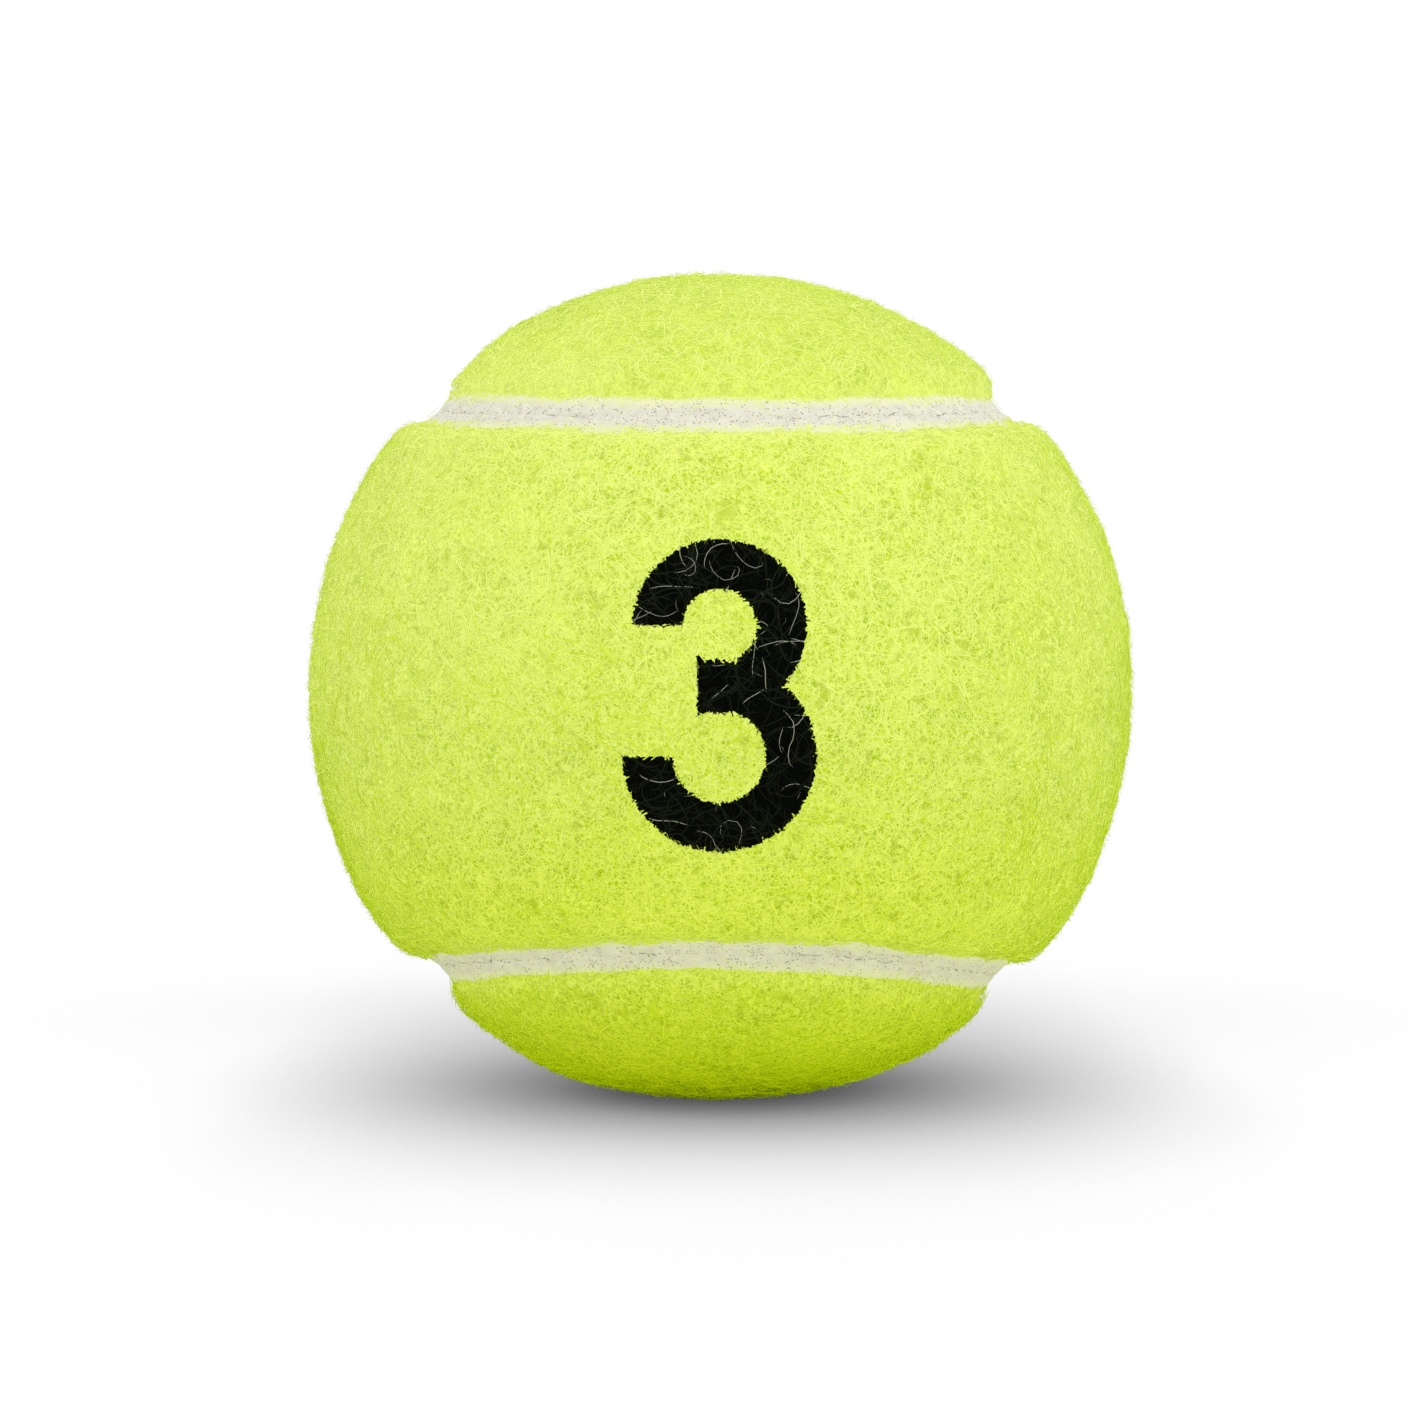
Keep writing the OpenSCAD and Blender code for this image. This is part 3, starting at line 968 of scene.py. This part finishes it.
def lay_paths(shape, rng, root, panel, length, steps, curl, spread, over_seam):
    """Walks fibres over the ball from their roots: (fibre, step, direction) unit vectors."""
    at = root * shape.crown
    field = np.stack([smooth_noise(at, SWIRL_SIZE, seed) for seed in SWIRL_SEEDS], 1)
    ahead = unit_rows(np.cross(root, field))
    turn = rng.normal(0, spread, len(root))
    side = np.cross(root, ahead)
    ahead = ahead * np.cos(turn)[:, None] + side * np.sin(turn)[:, None]
    angle, away = shape.from_seam(root, panel)
    inwards = (ahead * away).sum(1) < 0
    near = angle < shape.rim + TURNED_WITHIN
    ahead[inwards & near & (rng.random(len(root)) < TURNED_SHARE)] *= -1
    if over_seam:
        ahead = unit_rows(0.75 * ahead - away)
    bend = rng.normal(0, curl, len(root))
    step = length / steps / shape.crown
    kept = shape.rim + KEPT_WITHIN
    here, path = root, [root]
    for _ in range(steps):
        here = unit_rows(here + ahead * step[:, None])
        bend = BEND_KEPT * bend + (1 - BEND_KEPT) * rng.normal(0, NEW_BEND * curl, len(root))
        turn = bend * step * shape.crown
        side = np.cross(here, ahead)
        ahead = ahead * np.cos(turn)[:, None] + side * np.sin(turn)[:, None]
        if not over_seam:
            angle, away = shape.from_seam(here, panel)
            ahead = ahead + away * smooth_step(-angle, -kept, -shape.rim)[:, None]
        ahead = unit_rows(ahead - here * (ahead * here).sum(1, keepdims=True))
        path.append(here)
    return np.stack(path, 1)


# Thickness of a strand along its length: places, and shares of its full thickness there
STRAND_TAPER = ((0, 0.2, 0.75, 1), (0.5, 1, 0.9, 0.35))


def strand_mesh(name, spine, outwards, thick, shade, inked):
    """One mesh of closed three-sided strands along their spines, pointed at both ends."""
    count, points = spine.shape[:2]
    rings = points - 2
    ahead = np.gradient(spine, axis=1)
    ahead /= np.linalg.norm(ahead, axis=2, keepdims=True).clip(1e-12)
    side = np.cross(ahead, outwards)
    side /= np.linalg.norm(side, axis=2, keepdims=True).clip(1e-12)
    up = np.cross(side, ahead)
    taper = np.interp(np.arange(points) / (points - 1), *STRAND_TAPER)
    ring = []
    for corner in (0, 1, 2):
        turn = -math.pi / 2 + corner * 2 * math.pi / 3
        off = up * math.sin(turn) + side * math.cos(turn)
        ring.append(spine + off * (thick[:, None] / 2 * taper)[:, :, None])
    ring = np.stack(ring, 2)[:, 1:-1]
    each = 2 + 3 * rings
    places = np.concatenate(
        [spine[:, :1], ring.reshape(count, -1, 3), spine[:, -1:]], axis=1)
    faces = []
    for a, b in ((0, 1), (1, 2), (2, 0)):
        faces.append((0, 1 + b, 1 + a))
        last = 1 + 3 * (rings - 1)
        faces.append((each - 1, last + a, last + b))
        for k in range(rings - 1):
            low, high = 1 + 3 * k, 4 + 3 * k
            faces.append((low + a, low + b, high + b))
            faces.append((low + a, high + b, high + a))
    faces = np.array(faces)
    corners = (np.arange(count)[:, None, None] * each + faces[None]).reshape(-1)
    mesh = bpy.data.meshes.new(name)
    mesh.vertices.add(count * each)
    mesh.vertices.foreach_set("co", places.astype(np.float32).ravel())
    mesh.loops.add(len(corners))
    mesh.loops.foreach_set("vertex_index", corners.astype(np.int32))
    mesh.polygons.add(len(corners) // 3)
    mesh.polygons.foreach_set("loop_start", np.arange(0, len(corners), 3, dtype=np.int32))
    step = np.concatenate([[0], np.repeat(np.arange(1, points - 1), 3), [points - 1]])
    around = np.concatenate([[0.02], np.tile([0.0, 0.02, 0.04], rings), [0.02]])
    across = SHADE_WIDE * shade[:, None] + SHADE_FROM + TIP_PAINTED_LIGHT * (step / (points - 1))
    upwards = YELLOW_AT + around + INKED_OVER * inked[:, step]
    uv = np.stack([across, upwards], 2).reshape(-1, 2)[corners]
    layer = mesh.uv_layers.new(name=FIBRE_MAP)
    layer.uv.foreach_set("vector", uv.astype(np.float32).ravel())
    mesh.update(calc_edges=True)
    mesh.validate()
    mesh.shade_smooth()
    return mesh


# How deep in the felt a fibre's root sits, and how high over the seam rubber a fibre lies at least
ROOT_DEPTH, OVER_RUBBER = 0.06 * MM, 0.04 * MM
# Half the thickness of the thickest fibre, as a share of the usual thickness
THICKEST_HALF = 0.9
# Size and seed of the patches in which the fibres are paler, and how much they and chance count
TONE_SIZE, TONE_SEED, TONE_SHARE = 5 * MM, 61, 0.35
CHANCE_SHARE, DARKER = 0.75, 0.03
# Angle from the rim within which the fibres are paler, as painted light on the rolled edge, how much
# paler, and the lowest height on each panel where they are, as a share of the radius, with the rise
# over which that comes in
ROLL_ANGLE, ROLL_PAINTED_LIGHT, ROLL_FADE = 6 * DEGREE, 0.3, 0.5
ROLL_LOWEST = {FRONT: -0.8, REAR: -0.5}
# Thickness of a bare fibre over the ink, as a share of its recipe's
BARE_THIN = 0.45


def add_strands(context, name, shape, rng, root, panel, recipe, material):
    """Lays fibres from their roots by a recipe and adds them as one piece."""
    count = len(root)
    length = rng.uniform(*recipe["length"], count)
    path = lay_paths(shape, rng, root, panel, length, recipe["steps"], recipe["curl"],
                     recipe["spread"], "over_seam" in recipe)
    points = path.shape[1]
    flat = path.reshape(-1, 3)
    surface, angle = shape.felt_radius(flat, panel)
    surface = np.maximum(surface, shape.seam + OVER_RUBBER)
    t = np.arange(points) / (points - 1)
    peak = rng.uniform(*recipe["peak"], count)[:, None]
    end = rng.uniform(*recipe["end"], count)[:, None]
    lift = -ROOT_DEPTH + (peak + ROOT_DEPTH) * np.sin(math.pi * t**0.8) + end * t**2
    lift = lift + rng.normal(0, recipe["jitter"], (count, points)) * (t > 0)
    radius = surface.reshape(count, points) + lift
    spine = shape.strayed((path * radius[:, :, None]).reshape(-1, 3)).reshape(path.shape)
    # The floor presses the lowest fibres flat
    spine[:, :, 2] = np.maximum(spine[:, :, 2], THICKEST_HALF * shape.felt.fibre - shape.crown)
    thick = shape.felt.fibre * rng.uniform(*recipe["thick"], count)
    tone = 0.5 + 0.5 * smooth_noise(root * shape.crown, TONE_SIZE, TONE_SEED)
    shade = rng.beta(*recipe["shade"], count) * CHANCE_SHARE + TONE_SHARE * tone - DARKER
    at_root = angle.reshape(count, points)[:, 0]
    # Painted light: paler fibres rooted on the rolled edge
    rolled = 1 - smooth_step(at_root, shape.rim, shape.rim + ROLL_ANGLE)
    lowest = ROLL_LOWEST[panel]
    rolled = rolled * smooth_step(root[:, 2], lowest, lowest + ROLL_FADE)
    # Painted light: fibres higher on the ball are paler
    painted_light_height = root[:, 2].clip(-0.2, 1)
    shade = (shade + 3 * PAINTED_LIGHT_UP * painted_light_height + ROLL_PAINTED_LIGHT * rolled).clip(0, 1)
    inked = in_number(flat * shape.crown).reshape(count, points).astype(float)
    clean = rng.random(count) < recipe["clean"]
    bare = clean & (inked.max(1) > 0)
    thick[bare] *= BARE_THIN
    inked[clean] *= BARE
    mesh = strand_mesh(name, spine, path, thick, shade, inked)
    obj = bpy.data.objects.new(name, mesh)
    context.collection.objects.link(obj)
    # Fibres as thin as these let the light through to what lies under them
    obj.visible_shadow = obj.visible_diffuse = False
    finish_piece(obj, material)
    return obj


# How each kind of fibre is laid. Length, the height of its arch (peak) and of its tip (end), its
# jitter and its thickness in fibres are plain; curl and spread say how fast and how far it turns,
# shade sets the draw from deep to pale, and clean is the share that stays free of ink.
MAT = {
    "length": (0.6 * MM, 1.4 * MM), "steps": 2, "curl": 1200.0, "spread": 3.0,
    "peak": (0.05 * MM, 0.35 * MM), "end": (0.1 * MM, 0.95 * MM), "jitter": 0.01 * MM,
    "thick": (0.4, 0.75), "shade": (3.0, 1.6), "clean": 0.02,
}
CURLS = {
    "length": (2.0 * MM, 5.2 * MM), "steps": 8, "curl": 800.0, "spread": 2.2,
    "peak": (0.08 * MM, 0.5 * MM), "end": (-0.06 * MM, 0.35 * MM), "jitter": 0.01 * MM,
    "thick": (0.9, 1.75), "shade": (4.4, 1.0), "clean": 0.12,
}
FRINGE = {
    "length": (0.4 * MM, 1.25 * MM), "steps": 3, "curl": 900.0, "spread": 1.2, "over_seam": True,
    "peak": (0.0, 0.08 * MM), "end": (-0.03 * MM, 0.1 * MM), "jitter": 0.01 * MM,
    "thick": (0.6, 0.95), "shade": (5.0, 1.3), "clean": 1.0,
}
STRAYS = {
    "length": (1.3 * MM, 3.2 * MM), "steps": 7, "curl": 900.0, "spread": 1.6, "over_seam": True,
    "peak": (0.1 * MM, 0.3 * MM), "end": (0.0, 0.25 * MM), "jitter": 0.02 * MM,
    "thick": (0.4, 0.65), "shade": (4.0, 1.6), "clean": 1.0,
}
# Most faces in one piece of fibres
PIECE_FACES = 190000
ROOTS_FROM, PIT_BALD = 0.9 * DEGREE, 0.8
# Angles from the rim within which the strays and the fringe have their roots
STRAY_ROOTS, FRINGE_ROOTS = 2.2 * DEGREE, 1.3 * DEGREE
# Share of the fringe on the front panel, whose edge is the more frayed
FRONT_FRINGE = 0.7
# Places tried for each root wanted on the roll of the edge, which is a narrow part of the ball
EDGE_TRIES = 40


def felt_roots(shape, rng, count, panel):
    """Random roots on a panel's felt, fewer of them in the pits."""
    found, total = [], 0
    while total < count:
        unit = unit_rows(rng.normal(size=(count, 3)))
        angle, _ = shape.from_seam(unit, panel)
        keep = angle > shape.rim + ROOTS_FROM
        keep &= rng.random(count) > PIT_BALD * shape.pit_depth(unit * shape.crown)
        found.append(unit[keep])
        total += keep.sum()
    return np.concatenate(found)[:count]


def edge_roots(shape, rng, count, panel, reach):
    """Random roots on the roll of a panel's edge, within an angle of its rim."""
    found, total = [], 0
    while total < count:
        unit = unit_rows(rng.normal(size=(EDGE_TRIES * count, 3)))
        angle, _ = shape.from_seam(unit, panel)
        keep = (angle > shape.rim) & (angle < shape.rim + reach)
        found.append(unit[keep])
        total += keep.sum()
    return np.concatenate(found)[:count]


class BALL_OT_fibres(bpy.types.Operator):
    """Lays the fibres of the nap over both felt panels"""
    bl_idname = "ball.fibres"
    bl_label = "Felt fibres"

    def execute(self, context):
        shape = BallShape(context.scene)
        look = context.scene.ball_felt
        material = fibre_material(look)
        thin = 1.0
        for kind, recipe, count in (("nap", MAT, look.mat), ("curls", CURLS, look.curls)):
            most = PIECE_FACES // (6 * (recipe["steps"] - 1))
            for side, panel in (("front", FRONT), ("rear", REAR)):
                rng = np.random.default_rng(100 + 10 * panel + recipe["steps"])
                roots = felt_roots(shape, rng, int(count * thin / 2), panel)
                for index, part in enumerate(np.array_split(roots, math.ceil(len(roots) / most))):
                    add_strands(context, f"{kind}_{side}_{index + 1}", shape, rng, part, panel,
                                recipe, material)
        return {"FINISHED"}


class BALL_OT_strays(bpy.types.Operator):
    """Lays a fringe and single fibres from the panels' edges over the seam"""
    bl_idname = "ball.strays"
    bl_label = "Stray fibres"

    def execute(self, context):
        shape = BallShape(context.scene)
        look = context.scene.ball_felt
        material = bpy.data.materials["felt_fibre"]
        for side, panel in (("front", FRONT), ("rear", REAR)):
            rng = np.random.default_rng(300 + panel)
            roots = edge_roots(shape, rng, look.strays // 2, panel, STRAY_ROOTS)
            add_strands(context, f"strays_{side}", shape, rng, roots, panel, STRAYS, material)
            share = FRONT_FRINGE if panel == FRONT else 1 - FRONT_FRINGE
            roots = edge_roots(shape, rng, int(look.fringe * share), panel, FRINGE_ROOTS)
            add_strands(context, f"fringe_{side}", shape, rng, roots, panel, FRINGE, material)
        return {"FINISHED"}


def layer_material(name, colour, shade, size, rough, relief):
    """A plain layer inside the ball, mottled and grained at the given size."""
    material, tree, shader = new_material(name)
    at = add_node(tree, "ShaderNodeTexCoord").outputs["Object"]
    mottle = noise_node(tree, at, 6 * size, detail=3)
    tree.links.new(ramp(tree, mottle, (0.35, shade), (0.65, colour)), shader.inputs["Base Color"])
    grain = noise_node(tree, at, size, detail=2)
    bump = add_node(tree, "ShaderNodeBump", {"Height": grain, "Strength": 0.5, "Distance": relief})
    tree.links.new(bump.outputs[0], shader.inputs["Normal"])
    set_sockets(shader, Roughness=rough, Specular_IOR_Level=0.3)
    return material


class BALL_OT_inner_layers(bpy.types.Operator):
    """Finishes the core, the cement and the woven backings inside the ball"""
    bl_idname = "ball.inner_layers"
    bl_label = "Inner layers"

    def execute(self, context):
        rubber = layer_material(
            "core_rubber", colour=(0.06, 0.06, 0.065), shade=(0.035, 0.035, 0.04),
            size=0.4 * MM, rough=0.7, relief=0.05 * MM)
        cement = layer_material(
            "dried_cement", colour=(0.62, 0.5, 0.26), shade=(0.5, 0.38, 0.17),
            size=0.5 * MM, rough=0.5, relief=0.05 * MM)
        weave = layer_material(
            "woven_backing", colour=(0.76, 0.76, 0.45), shade=(0.6, 0.61, 0.32),
            size=0.3 * MM, rough=0.95, relief=0.1 * MM)
        for name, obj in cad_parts.items():
            finish = rubber if name.startswith("core_half") else cement
            if name.startswith("felt"):
                finish = weave
            obj.data.materials.clear()
            obj.data.materials.append(finish)
        return {"FINISHED"}


def camera_ray_share(tree):
    """1 for rays that show the background: the camera's, and those in gloss and glass."""
    path = add_node(tree, "ShaderNodeLightPath").outputs
    share = do_math(tree, "ADD", path["Is Camera Ray"], path["Is Glossy Ray"])
    clamped = add_node(
        tree, "ShaderNodeMath", {0: share, 1: path["Is Transmission Ray"]}, operation="ADD")
    clamped.use_clamp = True
    return clamped.outputs[0]


def light_sky(scene, strength):
    """A white world: plain light on the ball, and a white background behind it."""
    world = scene.world or bpy.data.worlds.new("studio")
    scene.world = world
    world.use_nodes = True
    tree = world.node_tree
    tree.nodes.clear()
    shown = camera_ray_share(tree)
    level = add_node(
        tree, "ShaderNodeMapRange", {"Value": shown, "To Min": strength, "To Max": 1.0})
    sky = add_node(tree, "ShaderNodeBackground", {
        "Color": rgba(grey(1.0)), "Strength": level.outputs[0]})
    out = add_node(tree, "ShaderNodeOutputWorld")
    tree.links.new(sky.outputs[0], out.inputs[0])


# How far the sky that the floor sees leans to the front, so that the shadow falls back a little
SHADOW_LEAN = 21 * DEGREE
# How far behind the ball's contact point the middle of the wide, faint part of its shadow lies, and
# how far that reaches to the sides and to the back
BEHIND, BEHIND_WIDE, BEHIND_DEEP = 60 * MM, 50 * MM, 35 * MM
# Share of the sky that must be hidden before the floor darkens at all
SHADOW_LEAST = 0.05
# How fast the sky that the floor sees turns away from the ball, to its left and right, how far it
# turns at most, and how far it leans to the left everywhere
SIDE_LIGHT, SIDE_MOST, SIDE_LEAN = 0.3, 0.8, 0.04
# How far away something may be and still hide the floor's sky, and how many rays look for it
SKY_REACH, SKY_RAYS = 30 * CROWN_R, 16
# Distances from the contact point between which the light off the floor loses the felt's tint
TINT_FROM, TINT_TO = 0.3 * CROWN_R, 1.2 * CROWN_R
# The floor's level where nothing covers it, a little over white, so that far floor is plain white
FLOOR_WHITE = 1.012


def floor_material(studio):
    """A pale floor. The camera sees it white, and darker where the ball hides its sky."""
    material, tree, shader = new_material("studio_floor")
    set_sockets(shader, Roughness=0.9, Specular_IOR_Level=0.0)
    at = add_node(tree, "ShaderNodeTexCoord").outputs["Object"]
    off = add_node(tree, "ShaderNodeVectorMath", {0: at, 1: (0, 0, -CROWN_R)}, operation="DISTANCE")
    open_share = add_node(tree, "ShaderNodeMapRange", {
        "Value": off.outputs["Value"], "From Min": TINT_FROM, "From Max": TINT_TO})
    colour = mix_colour(tree, open_share.outputs[0], rgba(studio.under), rgba(studio.bounce))
    tree.links.new(colour, shader.inputs["Base Color"])
    moved = add_node(tree, "ShaderNodeVectorMath", {0: at, 1: (0, BEHIND, 0)}, operation="SUBTRACT")
    scaled = add_node(tree, "ShaderNodeVectorMath", {
        0: moved.outputs[0], 1: (1 / BEHIND_WIDE, 1 / BEHIND_DEEP, 0)}, operation="MULTIPLY")
    beyond = add_node(tree, "ShaderNodeVectorMath", {
        0: scaled.outputs[0], 1: scaled.outputs[0]}, operation="DOT_PRODUCT").outputs["Value"]
    faint = do_math(tree, "EXPONENT", do_math(tree, "MULTIPLY", beyond, -1.0))
    behind = do_math(tree, "MULTIPLY", faint, studio.behind)
    x = add_node(tree, "ShaderNodeSeparateXYZ", {0: at}).outputs["X"]
    cube = do_math(tree, "MULTIPLY", do_math(tree, "MULTIPLY", x, x), x)
    outwards = add_node(tree, "ShaderNodeClamp", {
        "Value": do_math(tree, "MULTIPLY", cube, SIDE_LIGHT / CROWN_R**3),
        "Min": -SIDE_MOST, "Max": SIDE_MOST})
    sideways = do_math(tree, "SUBTRACT", outwards.outputs[0], SIDE_LEAN)
    lean = add_node(tree, "ShaderNodeCombineXYZ", {
        "X": sideways, "Y": -math.sin(SHADOW_LEAN), "Z": math.cos(SHADOW_LEAN)})
    hidden = add_node(tree, "ShaderNodeAmbientOcclusion", {
        "Distance": SKY_REACH, "Normal": lean.outputs[0]}, samples=SKY_RAYS)
    covered = do_math(tree, "SUBTRACT", 1 - SHADOW_LEAST, hidden.outputs["AO"])
    covered = do_math(tree, "POWER", do_math(tree, "MAXIMUM", covered), studio.fall)
    level = add_node(tree, "ShaderNodeMath", {
        0: covered, 1: -studio.shadow, 2: do_math(tree, "SUBTRACT", FLOOR_WHITE, behind)},
        operation="MULTIPLY_ADD")
    level.use_clamp = True
    seen = add_node(tree, "ShaderNodeEmission", {
        "Color": rgba(grey(1.0)), "Strength": level.outputs[0]})
    both = add_node(tree, "ShaderNodeMixShader", {
        0: camera_ray_share(tree), 1: shader.outputs[0], 2: seen.outputs[0]})
    out = next(n for n in tree.nodes if n.type == "OUTPUT_MATERIAL")
    tree.links.new(both.outputs[0], out.inputs["Surface"])
    return material


def add_lamp(name, place, target, size, radiance):
    """A square soft lamp that faces a target, as bright per area as its radiance says."""
    deselect_all()
    bpy.ops.object.light_add(type="AREA", location=place)
    lamp = bpy.context.active_object
    lamp.name = lamp.data.name = name
    lamp.rotation_euler = (target - place).to_track_quat("-Z", "Y").to_euler()
    lamp.data.size = size
    lamp.data.energy = radiance * size * size * math.pi


# Side of the square picture, and how far the ball's centre lies from its middle
PHOTO_PX = 1425
CENTRE_RIGHT_PX = 7.0
CENTRE_UP_PX = 26.5
# The lamp's place and the sides of the lamp and the floor, in crown radii
LAMP_PLACE, LAMP_SIDE, FLOOR_SIDE = (3.2, -5, 11), 9, 200
# Width of the camera's sensor in mm, and how near the camera sees
SENSOR_MM, NEAREST = 36, 10 * MM


class BALL_OT_studio(bpy.types.Operator):
    """Adds the floor, the lamp and the camera"""
    bl_idname = "ball.studio"
    bl_label = "Studio"

    def execute(self, context):
        scene, studio = context.scene, context.scene.ball_studio
        crown = scene.ball_sizes.crown
        scene.view_settings.view_transform = "Standard"
        light_sky(scene, studio.sky)
        deselect_all()
        bpy.ops.mesh.primitive_plane_add(size=FLOOR_SIDE * crown, location=(0, 0, -crown))
        floor = context.active_object
        rename(floor, "studio_floor")
        bpy.ops.object.transform_apply(location=True)
        floor.data.materials.append(floor_material(studio))
        add_lamp("key_lamp", Vector(LAMP_PLACE) * crown, Vector((0, 0, 0)), LAMP_SIDE * crown, studio.key)
        deselect_all()
        bpy.ops.object.camera_add(
            location=(0, -studio.distance, 0), rotation=(math.pi / 2, 0, 0))
        camera = context.active_object
        camera.data.lens = studio.lens
        camera.data.sensor_width = SENSOR_MM
        camera.data.shift_x = -CENTRE_RIGHT_PX / PHOTO_PX
        camera.data.shift_y = -CENTRE_UP_PX / PHOTO_PX
        camera.data.clip_start = NEAREST
        scene.camera = camera
        return {"FINISHED"}


class BALL_PT_tools(bpy.types.Panel):
    """The ball's steps, in the order in which they are made"""
    bl_label = "Tennis ball"
    bl_idname = "BALL_PT_tools"
    bl_space_type = "VIEW_3D"
    bl_region_type = "UI"
    bl_category = "Ball"

    def draw(self, context):
        for group in ("ball_sizes", "ball_felt", "ball_seam", "ball_studio"):
            box = self.layout.box()
            for name in getattr(context.scene, group).__annotations__:
                box.prop(getattr(context.scene, group), name)
        for step in STEPS:
            self.layout.operator(step.bl_idname)


STEPS = (
    BALL_OT_felt_panels, BALL_OT_seam, BALL_OT_fibres, BALL_OT_strays, BALL_OT_inner_layers,
    BALL_OT_studio,
)
GROUPS = {
    "ball_sizes": BALL_PG_sizes, "ball_felt": BALL_PG_felt, "ball_seam": BALL_PG_seam,
    "ball_studio": BALL_PG_studio,
}


def register():
    for cls in (*GROUPS.values(), *STEPS, BALL_PT_tools):
        bpy.utils.register_class(cls)
    for name, cls in GROUPS.items():
        setattr(bpy.types.Scene, name, bpy.props.PointerProperty(type=cls))


def unregister():
    for name in GROUPS:
        delattr(bpy.types.Scene, name)
    for cls in reversed((*GROUPS.values(), *STEPS, BALL_PT_tools)):
        bpy.utils.unregister_class(cls)


def main():
    """Makes the whole ball and its studio."""
    register()
    for step in STEPS:
        group, name = step.bl_idname.split(".")
        getattr(getattr(bpy.ops, group), name)()


if __name__ == "__main__":
    main()
